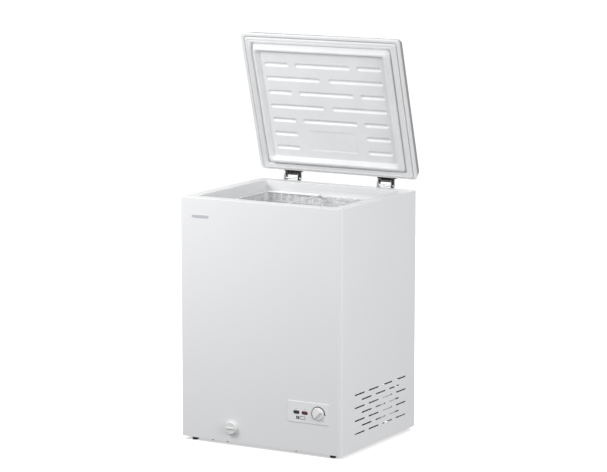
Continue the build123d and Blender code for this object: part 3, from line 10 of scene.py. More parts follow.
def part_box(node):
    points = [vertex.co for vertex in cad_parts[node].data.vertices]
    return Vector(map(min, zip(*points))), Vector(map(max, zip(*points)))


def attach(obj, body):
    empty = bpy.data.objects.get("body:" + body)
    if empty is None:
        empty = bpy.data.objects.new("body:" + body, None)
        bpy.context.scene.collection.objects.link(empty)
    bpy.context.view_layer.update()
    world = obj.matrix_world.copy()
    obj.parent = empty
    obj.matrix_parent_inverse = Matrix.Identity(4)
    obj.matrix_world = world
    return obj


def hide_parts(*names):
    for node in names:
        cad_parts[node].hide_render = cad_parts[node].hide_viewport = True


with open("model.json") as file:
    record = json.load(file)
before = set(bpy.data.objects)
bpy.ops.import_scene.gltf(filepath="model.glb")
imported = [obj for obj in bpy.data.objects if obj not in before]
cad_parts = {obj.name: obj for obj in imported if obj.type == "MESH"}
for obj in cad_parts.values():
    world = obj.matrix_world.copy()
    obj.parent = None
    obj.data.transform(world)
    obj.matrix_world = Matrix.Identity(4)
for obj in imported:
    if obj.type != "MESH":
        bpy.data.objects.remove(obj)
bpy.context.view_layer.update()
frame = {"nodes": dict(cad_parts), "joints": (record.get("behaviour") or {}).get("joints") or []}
NODES = frame["nodes"]
JOINTS = {j["name"]: j for j in frame["joints"]}
MM = 0.001
WIRE_SIDES = 3
BEND_STEPS = 6


# ---------------------------------------------------------------- mesh helpers
def add_mesh(name, verts, faces, material, body, smooth=True):
    """A mesh piece from millimetre points, riding on a body."""
    mesh = bpy.data.meshes.new(name)
    mesh.from_pydata([tuple(c * MM for c in v) for v in verts], [], faces)
    mesh.validate()
    mesh.update()
    for polygon in mesh.polygons:
        polygon.use_smooth = smooth
    piece = bpy.data.objects.new(name, mesh)
    bpy.context.scene.collection.objects.link(piece)
    piece.data.materials.append(material)
    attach(piece, body)
    return piece


def add_wires(name, paths, radius, material, body):
    """Round wires along millimetre paths, as one curve piece. A path is (points, closed)."""
    curve = bpy.data.curves.new(name, "CURVE")
    curve.dimensions = "3D"
    curve.bevel_depth = radius * MM
    curve.bevel_resolution = WIRE_SIDES
    curve.use_fill_caps = True
    for points, closed in paths:
        spline = curve.splines.new("POLY")
        spline.points.add(len(points) - 1)
        for target, point in zip(spline.points, points):
            target.co = (point[0] * MM, point[1] * MM, point[2] * MM, 1.0)
        spline.use_cyclic_u = closed
    piece = bpy.data.objects.new(name, curve)
    bpy.context.scene.collection.objects.link(piece)
    curve.materials.append(material)
    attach(piece, body)
    return piece


def rounded(points, radius):
    """An open route with each corner turned into an arc of that radius."""
    route = [Vector(points[0])]
    for before, corner, after in zip(points, points[1:], points[2:]):
        corner = Vector(corner)
        a = (Vector(before) - corner).normalized()
        b = (Vector(after) - corner).normalized()
        half = a.angle(b) / 2
        reach = radius / math.tan(half)
        centre = corner + (a + b).normalized() * (radius / math.sin(half))
        start = corner + a * reach - centre
        end = corner + b * reach - centre
        turn = start.angle(end)
        for i in range(BEND_STEPS + 1):
            t = i / BEND_STEPS
            arm = (start * math.sin((1 - t) * turn) + end * math.sin(t * turn)) / math.sin(turn)
            route.append(centre + arm)
    route.append(Vector(points[-1]))
    return route


def ring_route(x0, x1, y0, y1, z, radius, steps=BEND_STEPS):
    """A closed rounded rectangle at one height."""
    route = []
    corners = ((x1 - radius, y1 - radius, 0), (x0 + radius, y1 - radius, 90),
               (x0 + radius, y0 + radius, 180), (x1 - radius, y0 + radius, 270))
    for cx, cy, start in corners:
        for i in range(steps + 1):
            angle = math.radians(start + 90 * i / steps)
            route.append((cx + radius * math.cos(angle), cy + radius * math.sin(angle), z))
    return route


def box_mm(node):
    """A CAD node's box in millimetres, as (x0, y0, z0, x1, y1, z1)."""
    low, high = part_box(node)
    return tuple(c / MM for c in (*low, *high))


def clamp(value, low=0.0, high=1.0):
    return max(low, min(high, value))


# ---------------------------------------------------------------- materials
class Surface:
    """A node-built material: a principled shader with varied colour, varied gloss and fine relief."""

    def __init__(self, name, colour, rough, metallic=0.0, coat=0.0, coat_rough=0.1, sheen=0.0):
        self.material = bpy.data.materials.new(name)
        self.material.use_nodes = True
        self.tree = self.material.node_tree
        self.shader = self.tree.nodes["Principled BSDF"]
        self.shader.inputs["Base Color"].default_value = (*colour, 1.0)
        self.shader.inputs["Roughness"].default_value = rough
        self.shader.inputs["Metallic"].default_value = metallic
        self.shader.inputs["Coat Weight"].default_value = coat
        self.shader.inputs["Coat Roughness"].default_value = coat_rough
        self.shader.inputs["Specular IOR Level"].default_value = 0.5
        self.shader.inputs["Sheen Weight"].default_value = sheen
        self.colour = colour
        self.rough = rough
        self.place = self.tree.nodes.new("ShaderNodeTexCoord").outputs["Object"]
        self.normal = None

    def link(self, a, b):
        self.tree.links.new(a, b)

    def noise(self, scale, detail=3.0, stretch=None, distortion=0.0):
        """Noise over the object's own coordinates; scale is features per metre."""
        node = self.tree.nodes.new("ShaderNodeTexNoise")
        node.inputs["Scale"].default_value = scale
        node.inputs["Detail"].default_value = detail
        node.inputs["Distortion"].default_value = distortion
        self.link(self.stretched(stretch), node.inputs["Vector"])
        return node.outputs["Fac"]

    def cells(self, scale, output="Distance"):
        """Cell noise over the object's own coordinates."""
        node = self.tree.nodes.new("ShaderNodeTexVoronoi")
        node.inputs["Scale"].default_value = scale
        self.link(self.place, node.inputs["Vector"])
        return node.outputs[output]

    def stretched(self, stretch):
        """The object's own coordinates, scaled along each axis where a stretch is given."""
        if stretch is None:
            return self.place
        node = self.tree.nodes.new("ShaderNodeMapping")
        node.inputs["Scale"].default_value = stretch
        self.link(self.place, node.inputs["Vector"])
        return node.outputs["Vector"]

    def spread(self, value, low, high, start=0.35, end=0.65):
        """A 0 to 1 texture value moved to a range."""
        node = self.tree.nodes.new("ShaderNodeMapRange")
        node.inputs["From Min"].default_value = start
        node.inputs["From Max"].default_value = end
        node.inputs["To Min"].default_value = low
        node.inputs["To Max"].default_value = high
        self.link(value, node.inputs["Value"])
        return node.outputs["Result"]

    def tint(self, value, other, share=1.0, start=0.35, end=0.65):
        """Turns the colour towards another one where the texture is high."""
        node = self.tree.nodes.new("ShaderNodeMix")
        node.data_type = "RGBA"
        socket = self.shader.inputs["Base Color"]
        if socket.is_linked:
            self.link(socket.links[0].from_socket, node.inputs["A"])
        else:
            node.inputs["A"].default_value = (*self.colour, 1.0)
        node.inputs["B"].default_value = (*other, 1.0)
        self.link(self.spread(value, 0.0, share, start, end), node.inputs["Factor"])
        self.link(node.outputs["Result"], socket)
        return self

    def gloss(self, value, amount, start=0.3, end=0.7):
        """Varies the roughness by plus or minus an amount."""
        low = clamp(self.rough - amount)
        high = clamp(self.rough + amount)
        self.link(self.spread(value, low, high, start, end), self.shader.inputs["Roughness"])
        return self

    def relief(self, value, depth_mm, strength=1.0):
        """Raises the surface where the texture is high."""
        node = self.tree.nodes.new("ShaderNodeBump")
        node.inputs["Distance"].default_value = depth_mm * MM
        node.inputs["Strength"].default_value = strength
        self.link(value, node.inputs["Height"])
        if self.normal is not None:
            self.link(self.normal, node.inputs["Normal"])
        self.normal = node.outputs["Normal"]
        self.link(self.normal, self.shader.inputs["Normal"])
        return self


def painted_steel(name, colour, rough=0.32):
    """Powder-coated sheet: orange peel, faint waviness and slightly uneven gloss."""
    s = Surface(name, colour, rough, coat=0.25, coat_rough=0.18)
    s.tint(s.noise(2.4, 1.0), tuple(c * 0.98 for c in colour), 0.8)
    s.tint(s.noise(900.0, 2.0), tuple(c * 0.95 for c in colour), 0.35, 0.55, 0.75)
    s.gloss(s.noise(5.0, 1.0), 0.03)
    s.relief(s.noise(5.0, 0.0), 0.5, 0.15)
    s.relief(s.noise(620.0, 2.0), 0.03, 0.35)
    return s.material


def moulded(name, colour, rough, grain=1500.0, depth=0.015):
    """Moulded plastic: fine texture, soft mottling and slightly uneven gloss."""
    s = Surface(name, colour, rough)
    s.tint(s.noise(11.0, 3.0), tuple(c * 0.955 for c in colour), 0.8)
    s.gloss(s.noise(26.0, 4.0), 0.08)
    s.relief(s.noise(9.0, 1.0), 0.5, 0.2)
    s.relief(s.noise(grain, 2.0), depth, 0.5)
    return s.material


def stucco_aluminium(name):
    """Embossed aluminium sheet with its pebbled pattern."""
    s = Surface(name, (0.86, 0.865, 0.875), 0.4, metallic=0.45)
    s.tint(s.noise(5.0, 3.0), (0.78, 0.79, 0.8), 0.6)
    s.tint(s.noise(150.0, 2.0, distortion=0.8), (0.62, 0.63, 0.65), 0.85, 0.5, 0.62)
    s.gloss(s.noise(70.0, 3.0), 0.1)
    s.relief(s.noise(2.6, 1.0), 3.0, 0.2)
    s.relief(s.noise(150.0, 1.5, distortion=0.8), 1.3, 1.0)
    s.relief(s.noise(1400.0, 2.0), 0.02, 0.4)
    return s.material


def galvanised_steel(name):
    """Zinc-coated sheet with its spangle."""
    s = Surface(name, (0.55, 0.57, 0.59), 0.4, metallic=0.9)
    spangle = s.cells(110.0, output="Color")
    s.tint(spangle, (0.72, 0.74, 0.76), 0.8, 0.2, 0.8)
    s.gloss(spangle, 0.13, 0.2, 0.8)
    s.tint(s.noise(6.0, 4.0), (0.44, 0.45, 0.46), 0.5)
    s.relief(s.noise(800.0, 2.0), 0.02, 0.5)
    return s.material


def plated_steel(name, colour=(0.62, 0.63, 0.64)):
    """Zinc-plated small steel pieces with fine drawn lines."""
    s = Surface(name, colour, 0.3, metallic=1.0)
    s.tint(s.noise(90.0, 4.0), tuple(c * 0.72 for c in colour), 0.8)
    s.gloss(s.noise(240.0, 3.0), 0.12)
    s.relief(s.noise(420.0, 2.0, stretch=(0.15, 1.0, 1.0)), 0.03, 0.5)
    return s.material


def rolled_copper(name):
    """Copper tube, slightly tarnished."""
    s = Surface(name, (0.72, 0.36, 0.2), 0.28, metallic=1.0)
    s.tint(s.noise(60.0, 5.0), (0.36, 0.17, 0.1), 0.7)
    s.gloss(s.noise(150.0, 4.0), 0.12)
    s.relief(s.noise(500.0, 2.0), 0.03, 0.4)
    return s.material


def foamed(name):
    """Rigid foam with its open cells."""
    s = Surface(name, (0.86, 0.78, 0.52), 0.85)
    cells = s.cells(520.0)
    s.tint(cells, (0.66, 0.56, 0.33), 0.8, 0.1, 0.7)
    s.tint(s.noise(9.0, 3.0), (0.9, 0.84, 0.62), 0.7)
    s.relief(cells, 0.6, 0.8)
    return s.material


def rubbery(name, colour, rough=0.7, bloom=0.7):
    """Rubber with a dusty bloom and a fine skin."""
    s = Surface(name, colour, rough, sheen=0.15)
    dusty = tuple(min(1.0, c * 1.25 + 0.02) for c in colour)
    s.tint(s.noise(45.0, 5.0), dusty, bloom)
    s.gloss(s.noise(120.0, 3.0), 0.1)
    s.relief(s.noise(1300.0, 2.0), 0.03, 0.5)
    return s.material


def black_enamel(name, rough=0.3, coat=0.5, dust=0.6):
    """Black stoved enamel with a little dust."""
    s = Surface(name, (0.012, 0.012, 0.013), rough, coat=coat, coat_rough=0.12)
    s.tint(s.noise(30.0, 5.0), (0.06, 0.058, 0.055), dust, 0.45, 0.75)
    s.gloss(s.noise(60.0, 4.0), 0.12)
    s.relief(s.noise(380.0, 2.0), 0.08, 0.4)
    return s.material


def lamp_glass(name, colour, edge):
    """Dyed clear plastic over a dark pocket, ribbed inside."""
    s = Surface(name, colour, 0.12, coat=1.0, coat_rough=0.04)
    s.tint(s.noise(120.0, 2.0), edge, 0.8)
    s.gloss(s.noise(200.0, 2.0), 0.05)
    s.relief(s.noise(240.0, 1.0, stretch=(6.0, 0.2, 0.2)), 0.15, 0.5)
    return s.material


def printed(name, colour):
    """Screen-printed ink with a slightly uneven film."""
    s = Surface(name, colour, 0.5)
    s.tint(s.noise(700.0, 3.0), tuple(min(1.0, c * 1.3 + 0.02) for c in colour), 0.7)
    s.gloss(s.noise(300.0, 3.0), 0.1)
    s.relief(s.noise(1500.0, 2.0), 0.01, 0.4)
    return s.material


M = {
    "enamel": painted_steel("white_enamel", (0.83, 0.835, 0.85)),
    "back": painted_steel("back_enamel", (0.74, 0.745, 0.755), 0.45),
    "white": moulded("white_plastic", (0.79, 0.792, 0.798), 0.34),
    "liner": moulded("lid_liner_plastic", (0.79, 0.797, 0.806), 0.4, 900.0, 0.02),
    "fascia": moulded("fascia_plastic", (0.845, 0.85, 0.865), 0.42, 1100.0, 0.03),
    "dial": moulded("dial_plastic", (0.86, 0.86, 0.86), 0.28),
    # grey plastic for the lid's edge trim, made darker still to carry the shade on the lid's side
    # edge as painted shade
    "trim_and_shade": moulded("grey_trim_painted_shade", (0.32, 0.325, 0.34), 0.45, 1000.0, 0.03),
    "badge": painted_steel("badge_grey", (0.53, 0.55, 0.58), 0.25),
    "hinge": painted_steel("hinge_paint", (0.72, 0.73, 0.75), 0.38),
    "aluminium": stucco_aluminium("stucco_aluminium"),
    "galvanised": galvanised_steel("galvanised_sheet"),
    "plated": plated_steel("plated_steel"),
    "tube": plated_steel("aluminium_tube", (0.76, 0.77, 0.78)),
    "copper": rolled_copper("tarnished_copper"),
    "foam": foamed("rigid_foam"),
    "seal": rubbery("seal_white", (0.74, 0.745, 0.75), 0.5, 0.12),
    "rubber": rubbery("black_rubber", (0.05, 0.05, 0.052)),
    "plug": rubbery("grey_rubber", (0.3, 0.31, 0.33)),
    "enamel_black": black_enamel("compressor_enamel"),
    # black enamel: the springs' own colour, and painted shade where it also covers the hinge leaves
    "spring": black_enamel("spring_black", 0.5, 0.0, 0.2),
    "black": moulded("black_plastic", (0.02, 0.02, 0.02), 0.5),
    "wire": painted_steel("wire_coating", (0.84, 0.845, 0.85), 0.28),
    "green": lamp_glass("green_lens", (0.006, 0.016, 0.013), (0.02, 0.04, 0.03)),
    "red": lamp_glass("red_lens", (0.055, 0.006, 0.01), (0.13, 0.015, 0.02)),
    "ink": printed("dark_ink", (0.03, 0.03, 0.035)),
    "ink_light": printed("grey_ink", (0.3, 0.31, 0.33)),
}

LOOKS = {
    "enamel": ("outer_shell", "lid_top_panel"),
    "back": ("back_panel",),
    "white": ("top_frame", "breaker_strip", "drain_elbow", "drain_collar", "drain_spout",
              "drain_cap", "control_box", "relay_cover"),
    "fascia": ("control_fascia",),
    "dial": ("thermostat_dial",),
    "liner": ("lid_inner_liner",),
    # the trim's dark grey is partly its own colour and partly painted shade
    "trim_and_shade": ("lid_edge_trim",),
    "badge": ("badge",),
    "hinge": ("left_hinge_base", "right_hinge_base"),
    "aluminium": ("inner_liner",),
    "galvanised": ("bottom_panel", "bay_wall", "compressor_base", "rear_grille",
                   "hinge_stiffeners", "lid_stiffeners"),
    "plated": ("hinge_pins", "spring_rods", "panel_screws", "foot_screws", "hinge_leaf_screws",
               "compressor_bolts"),
    "tube": ("evaporator_coil",),
    "copper": ("condenser_coil", "suction_tube", "discharge_tube", "filter_drier",
               "sensor_bulb"),
    "foam": ("insulation_foam", "lid_foam"),
    "seal": ("lid_gasket",),
    "rubber": ("feet", "skirt_plugs", "compressor_grommets", "cable_gland"),
    "plug": ("drain_plug",),
    "enamel_black": ("compressor",),
    "black": ("start_relay", "thermostat"),
    # the hinge leaves take the springs' black as painted shade for the dark under the lid's rear edge
    "spring": ("hinge_springs", "left_hinge_leaf", "right_hinge_leaf"),
    "green": ("power_lamp_lens",),
    "red": ("run_lamp_lens",),
    "wire": ("basket_frame", "basket_front_grid", "basket_rear_grid", "basket_left_grid",
             "basket_right_grid", "basket_bottom_grid"),
}
for look, members in LOOKS.items():
    for member in members:
        data = NODES[member].data
        data.materials.clear()
        data.materials.append(M[look])
        for polygon in data.polygons:
            polygon.material_index = 0


# ---------------------------------------------------------------- the lid's formed inner face
HINGE = [c / MM for c in JOINTS["lid_hinge"]["pos_m"]]
OPEN_ANGLE = math.radians(-JOINTS["lid_hinge"]["range_deg"][0])
SEAL_Z = 795.4
SEAT_Z = 805.0
SPLIT_Z = 809.0
LID = (-295.1, -249.6, 295.1, 235.4)
LID_CORNER = 14.4
LID_DRAFT = 0.32
# the outline that the margins below are measured from: half width, front and rear
OUTLINE_HALF = 296.5
OUTLINE_FRONT = -251.0
OUTLINE_REAR = 236.0
BAND_Z = SEAL_Z + 2.6
BAND_EDGE_ROUND = 2.2
RIDGE_Z = SEAL_Z - 13.0
PAN_Z = SEAL_Z + 1.0
PAN_CORNER = 8.0
# loops of the formed face: margins from the lid's edges (side, front, rear), corner radius, height
FACE_LOOPS = (
    ((1.4, 1.4, 0.6), LID_CORNER, BAND_Z + BAND_EDGE_ROUND),
    ((3.6, 3.6, 2.8), LID_CORNER - BAND_EDGE_ROUND, BAND_Z),
    ((14.2, 14.2, 4.2), 8.0, BAND_Z),
    ((15.0, 15.0, 5.0), 8.0, SEAT_Z),
    ((37.0, 36.0, 24.0), 16.0, SEAT_Z),
    ((43.5, 40.5, 25.5), 14.0, SEAL_Z),
    ((49.0, 48.0, 36.0), 10.0, RIDGE_Z),
    ((57.0, 56.0, 44.0), 10.0, RIDGE_Z),
    ((63.0, 62.0, 52.0), PAN_CORNER, PAN_Z),
)
GROOVE_RISE = 4.5
GROOVE_HALF = 5.5
GROOVE_LIP = 2.2
GROOVE_OUTER = 217.0
GROOVE_SHORT = 88.0
GROOVE_WIDE = 202.0
GROOVE_MIDDLE = 17.0
GROOVE_FIRST_Y = -144.0
GROOVE_PITCH = 49.0
GROOVE_ROWS = 7
PANEL_HALF = (88.0, 35.0)
PANEL_CENTRE_Y = 120.6
PANEL_RISE = 1.3
PANEL_SLOPE = 1.5
GRID = 1.7
SMOOTH_PASSES = 2


def open_point(x, y, z):
    """A point of the closed lid turned to the resting angle."""
    dy = y - HINGE[1]
    dz = z - HINGE[2]
    c, s = math.cos(OPEN_ANGLE), math.sin(OPEN_ANGLE)
    return (x, HINGE[1] + dy * c + dz * s, HINGE[2] - dy * s + dz * c)


def inside(x, y, margins, radius):
    """How far a point lies inside a rounded rectangle given by margins from the lid's edges."""
    side, front, rear = margins
    x1 = OUTLINE_HALF - side
    y0 = OUTLINE_FRONT + front
    y1 = OUTLINE_REAR - rear
    dx = abs(x) - (x1 - radius)
    dy = abs(y - (y0 + y1) / 2) - ((y1 - y0) / 2 - radius)
    outside = math.hypot(max(dx, 0.0), max(dy, 0.0))
    return radius - outside - min(max(dx, dy), 0.0)


def groove_list():
    """The stiffening grooves: x, y and half length."""
    side = GROOVE_OUTER - GROOVE_SHORT / 2
    half = (GROOVE_OUTER - GROOVE_MIDDLE) / 2
    grooves = []
    for row in range(GROOVE_ROWS):
        y = GROOVE_FIRST_Y + row * GROOVE_PITCH
        if row in (1, 3):
            grooves += [(-GROOVE_MIDDLE - half, y, half), (GROOVE_MIDDLE + half, y, half)]
        else:
            grooves += [(-side, y, GROOVE_SHORT / 2), (side, y, GROOVE_SHORT / 2)]
        if row in (0, 2, 4):
            grooves.append((0.0, y, GROOVE_WIDE / 2))
    return grooves


def face_height(x, y, grooves):
    """Height of the formed inner face over a plan point, lid closed."""
    height = FACE_LOOPS[0][2]
    last = inside(x, y, FACE_LOOPS[0][0], FACE_LOOPS[0][1])
    for (_, _, low), (margins, radius, high) in zip(FACE_LOOPS, FACE_LOOPS[1:]):
        now = inside(x, y, margins, radius)
        if now >= 0:
            height = high
        elif last > 0:
            height = low + (high - low) * last / (last - now)
            break
        else:
            break
        last = now
    if last > 0 and height >= PAN_Z - 0.01 and inside(x, y, FACE_LOOPS[-1][0], PAN_CORNER) > 0:
        for gx, gy, half in grooves:
            along = max(abs(x - gx) - (half - GROOVE_HALF), 0.0)
            reach = GROOVE_HALF - math.hypot(along, y - gy)
            if reach > -0.5:
                height += GROOVE_RISE * clamp((reach + 0.3) / GROOVE_LIP)
        edge = min(PANEL_HALF[0] - abs(x), PANEL_HALF[1] - abs(y - PANEL_CENTRE_Y))
        height += PANEL_RISE * clamp(edge / PANEL_SLOPE)
    return height


def outline_snap(x, y):
    """Moves a point that lies beyond the lid's rounded outline onto it."""
    x0, y0, x1, y1 = LID
    cx = min(max(x, x0 + LID_CORNER), x1 - LID_CORNER)
    cy = min(max(y, y0 + LID_CORNER), y1 - LID_CORNER)
    distance = math.hypot(x - cx, y - cy)
    if distance <= LID_CORNER:
        return x, y, False
    scale = LID_CORNER / distance
    return cx + (x - cx) * scale, cy + (y - cy) * scale, True


def build_lid_face():
    """The white formed inner face as one smooth pressed sheet with a turned-up edge."""
    x0, y0, x1, y1 = LID
    columns = round((x1 - x0) / GRID)
    rows = round((y1 - y0) / GRID)
    grooves = groove_list()
    heights, places, beyond = [], [], []
    for j in range(rows + 1):
        for i in range(columns + 1):
            x, y, out = outline_snap(x0 + (x1 - x0) * i / columns, y0 + (y1 - y0) * j / rows)
            places.append((x, y))
            beyond.append(out)
            heights.append(face_height(x, y, grooves))
    width = columns + 1
    for _ in range(SMOOTH_PASSES):
        softer = list(heights)
        for j in range(1, rows):
            for i in range(1, columns):
                k = j * width + i
                if not beyond[k]:
                    around = heights[k - 1] + heights[k + 1] + heights[k - width] + heights[k + width]
                    softer[k] = heights[k] * 0.5 + around * 0.125
        heights = softer
    verts = [open_point(x, y, h) for (x, y), h in zip(places, heights)]
    faces = []
    for j in range(rows):
        for i in range(columns):
            k = j * width + i
            corners = (k, k + width, k + width + 1, k + 1)
            flat = {(round(places[c][0], 4), round(places[c][1], 4)) for c in corners}
            if sum(beyond[c] for c in corners) < 4 and len(flat) == 4:
                faces.append(corners)
    edges = [edge for face in faces for edge in zip(face, face[1:] + face[:1])]
    known = set(edges)
    top = {}
    for a, b in [edge for edge in edges if (edge[1], edge[0]) not in known]:
        for c in (a, b):
            if c not in top:
                top[c] = len(verts)
                x, y = places[c]
                rise = LID_DRAFT * (SPLIT_Z - heights[c])
                lean_y = y + rise * (y1 - y) / (y1 - y0)
                verts.append(open_point(x * (1 - rise / x1), lean_y, SPLIT_Z))
        faces.append((b, a, top[a], top[b]))
    used = sorted({c for face in faces for c in face})
    renumber = {old: new for new, old in enumerate(used)}
    verts = [verts[c] for c in used]
    faces = [tuple(renumber[c] for c in face) for face in faces]
    face = add_mesh("lid_formed_face", verts, faces, M["liner"], "lid")
    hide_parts("lid_inner_liner")


# profile of the seal across its width: share from the outer edge, height above the seal plane
SEAL_PROFILE = ((0.0, 6.0), (0.015, 3.4), (0.05, 1.9), (0.11, 0.6), (0.18, 0.1), (0.34, 0.0),
                (0.42, 0.1), (0.46, 0.5), (0.5, 1.0), (0.54, 0.5), (0.58, 0.1), (0.66, 0.0),
                (0.8, 0.1), (0.9, 0.6), (0.96, 1.8), (0.985, 4.0), (1.0, 9.6))


SEAL_BEND_STEPS = 14
SEAL_OUTER = ((15.4, 15.4, 5.2), 8.0)
SEAL_INNER = ((36.6, 35.6, 23.6), 6.0)


def loop_points(margins, radius):
    """Points round a rounded rectangle given by margins from the lid's edges."""
    side, front, rear = margins
    route = ring_route(side - OUTLINE_HALF, OUTLINE_HALF - side, front + OUTLINE_FRONT,
                       OUTLINE_REAR - rear, 0, radius, SEAL_BEND_STEPS)
    return [(p[0], p[1]) for p in route]


def build_seal():
    """The bellows seal: a magnet bead outside, a fold and a soft lip inside."""
    outer = loop_points(*SEAL_OUTER)
    inner = loop_points(*SEAL_INNER)
    verts, faces = [], []
    steps = len(SEAL_PROFILE)
    for (ox, oy), (ix, iy) in zip(outer, inner):
        for share, rise in SEAL_PROFILE:
            verts.append(open_point(ox + (ix - ox) * share, oy + (iy - oy) * share,
                                    SEAL_Z + rise))
    count = len(outer)
    for i in range(count):
        for k in range(steps - 1):
            a = i * steps + k
            b = ((i + 1) % count) * steps + k
            faces.append((a, b, b + 1, a + 1))
    seal = add_mesh("lid_seal_bellows", verts, faces, M["seal"], "lid")
    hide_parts("lid_gasket")


build_lid_face()
build_seal()


# ---------------------------------------------------------------- basket of round wires
WIRE = 1.25
MESH_PITCH = 27.5
MESH_BEND = 9.0
MESH_BELOW_LOOP = 0.2


def build_basket():
    """Round wires bent down one wall, under the floor and up the other, with rings round them."""
    x0, y0, _, x1, y1, top = box_mm("basket_front_grid")
    left, right = x0 + WIRE, x1 - WIRE
    near = y0 + WIRE
    far = box_mm("basket_rear_grid")[4] - WIRE
    low = box_mm("basket_bottom_grid")[2] + WIRE
    top -= MESH_BELOW_LOOP
    across = round((right - left) / MESH_PITCH)
    along = round((far - near) / MESH_PITCH)
    up = round((top - low) / MESH_PITCH)
    inner = 2 * WIRE
    paths = []
    for i in range(1, across):
        x = left + (right - left) * i / across
        paths.append((rounded([(x, near + inner, top), (x, near + inner, low + inner),
                               (x, far - inner, low + inner), (x, far - inner, top)],
                              MESH_BEND), False))
    for j in range(1, along):
        y = near + (far - near) * j / along
        paths.append((rounded([(left + inner, y, top), (left + inner, y, low),
                               (right - inner, y, low), (right - inner, y, top)],
                              MESH_BEND), False))
    for k in range(up):
        z = low + MESH_BEND + (top - low - MESH_BEND) * k / up
        paths.append((ring_route(left, right, near, far, z, MESH_BEND), True))
    mesh = add_wires("basket_wires", paths, WIRE, M["wire"], "basket")
    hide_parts("basket_front_grid", "basket_rear_grid", "basket_left_grid",
                "basket_right_grid", "basket_bottom_grid")


build_basket()


# ---------------------------------------------------------------- hinge springs
SPRING_WIRE = 1.7
SPRING_TURNS = 7
SPRING_TURN_STEPS = 24
SPRING_END_GAP = 3.2
SPRING_TAIL = (12.0, 5.0)


def build_springs():
    """The two counterbalance springs as wound wire with straight tails."""
    _, y0, z0, _, y1, z1 = box_mm("hinge_springs")
    cy, cz = (y0 + y1) / 2, (z0 + z1) / 2
    radius = (y1 - y0) / 2 - SPRING_WIRE
    steps = SPRING_TURNS * SPRING_TURN_STEPS
    paths = []
    for side in ("left", "right"):
        bx0, _, _, bx1, _, _ = box_mm(f"{side}_hinge_base")
        start = bx0 + SPRING_WIRE + SPRING_END_GAP
        end = bx1 - SPRING_WIRE - SPRING_END_GAP
        route = [(start, cy - radius, cz - drop) for drop in SPRING_TAIL]
        for i in range(steps + 1):
            angle = math.pi + 2 * math.pi * i / SPRING_TURN_STEPS
            route.append((start + (end - start) * i / steps, cy + radius * math.cos(angle),
                          cz + radius * math.sin(angle)))
        route += [(end, cy - radius, cz - drop) for drop in reversed(SPRING_TAIL)]
        paths.append((route, False))
    coils = add_wires("spring_coils", paths, SPRING_WIRE, M["spring"], "cabinet")
    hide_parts("hinge_springs")


build_springs()


# ---------------------------------------------------------------- printed marks on the controls
FRONT_Y = box_mm("control_fascia")[1]
INK = 0.12
INK_UNDER = 0.05
WEDGE_STEPS = 60
# the pictogram's two blocks and its frame, in x, between one low and one high edge
MARK_LOW = 116.0
MARK_HIGH = 126.0
MARK_BLOCKS = ((135.0, 139.5), (141.0, 145.5))
MARK_FRAME = (148.0, 168.0)
MARK_LINE = 1.4
LAMP_MARK_HALF = 3.0
LAMP_MARK_RISE = (4.4, 5.4)


def plate_shape(name, outlines, material):
    """Thin inked shapes on the control plate, from closed outlines in x and z."""
    verts, faces = [], []
    for outline in outlines:
        count = len(outline)
        base = len(verts)
        for y in (FRONT_Y - INK, FRONT_Y + INK_UNDER):
            verts += [(x, y, z) for x, z in outline]
        faces.append(tuple(base + i for i in range(count)))
        faces.append(tuple(base + count + i for i in reversed(range(count))))
        for i in range(count):
            j = (i + 1) % count
            faces.append((base + i, base + count + i, base + count + j, base + j))
    return add_mesh(name, verts, faces, material, "cabinet", smooth=False)


def rectangle(x0, x1, z0, z1):
    return [(x0, z0), (x1, z0), (x1, z1), (x0, z1)]


def arc_band(cx, cz, start, end, inner, outer, steps=1):
    """Quads that make an arc, with radii that may change along it (degrees from +X)."""
    quads = []
    for i in range(steps):
        corners = []
        for t in (i / steps, (i + 1) / steps):
            angle = math.radians(start + (end - start) * t)
            low = inner[0] + (inner[1] - inner[0]) * t
            high = outer[0] + (outer[1] - outer[0]) * t
            corners.append([(cx + r * math.cos(angle), cz + r * math.sin(angle))
                            for r in (low, high)])
        quads.append([corners[0][0], corners[0][1], corners[1][1], corners[1][0]])
    return quads


def build_marks():
    """Dial scale, a dash above each lamp and a plain pictogram."""
    knob = box_mm("thermostat_dial")
    cx, cz = (knob[0] + knob[3]) / 2, (knob[2] + knob[5]) / 2
    wedge = arc_band(cx, cz, 238, -4, (22.0, 22.0), (23.5, 26.0), WEDGE_STEPS)
    plate_shape("dial_scale_wedge", wedge, M["ink"])
    ticks = arc_band(cx, cz, -3.0, 0.0, (26.0, 26.0), (31.0, 31.0))
    ticks += arc_band(cx, cz, -50.0, -46.0, (25.0, 25.0), (30.0, 30.0))
    ticks += arc_band(cx, cz, -92.0, -89.0, (25.0, 25.0), (27.5, 27.5))
    for angle in (45, 90, 135, 180):
        ticks += arc_band(cx, cz, angle - 1.2, angle + 1.2, (27.4, 27.4), (29.4, 29.4))
    plate_shape("dial_scale_ticks", ticks, M["ink_light"])
    left, right = MARK_FRAME
    low, high = MARK_LOW + MARK_LINE, MARK_HIGH - MARK_LINE
    pictogram = [rectangle(*block, MARK_LOW, MARK_HIGH) for block in MARK_BLOCKS]
    pictogram += [rectangle(left, right, high, MARK_HIGH), rectangle(left, right, MARK_LOW, low),
                  rectangle(left, left + MARK_LINE, low, high),
                  rectangle(right - MARK_LINE, right, low, high)]
    plate_shape("load_pictogram", pictogram, M["ink"])
    for node in ("power_lamp_lens", "run_lamp_lens"):
        x0, _, _, x1, _, top = box_mm(node)
        middle = (x0 + x1) / 2
        dash = rectangle(middle - LAMP_MARK_HALF, middle + LAMP_MARK_HALF,
                         *(top + rise for rise in LAMP_MARK_RISE))
        plate_shape(f"{node}_mark", [dash], M["ink_light"])


build_marks()


# ---------------------------------------------------------------- stage, light and camera
FLOOR_REACH = 30.0
ROOM_BELOW = 0.1
ROOM_ABOVE = 0.84
BACKDROP = 1.05


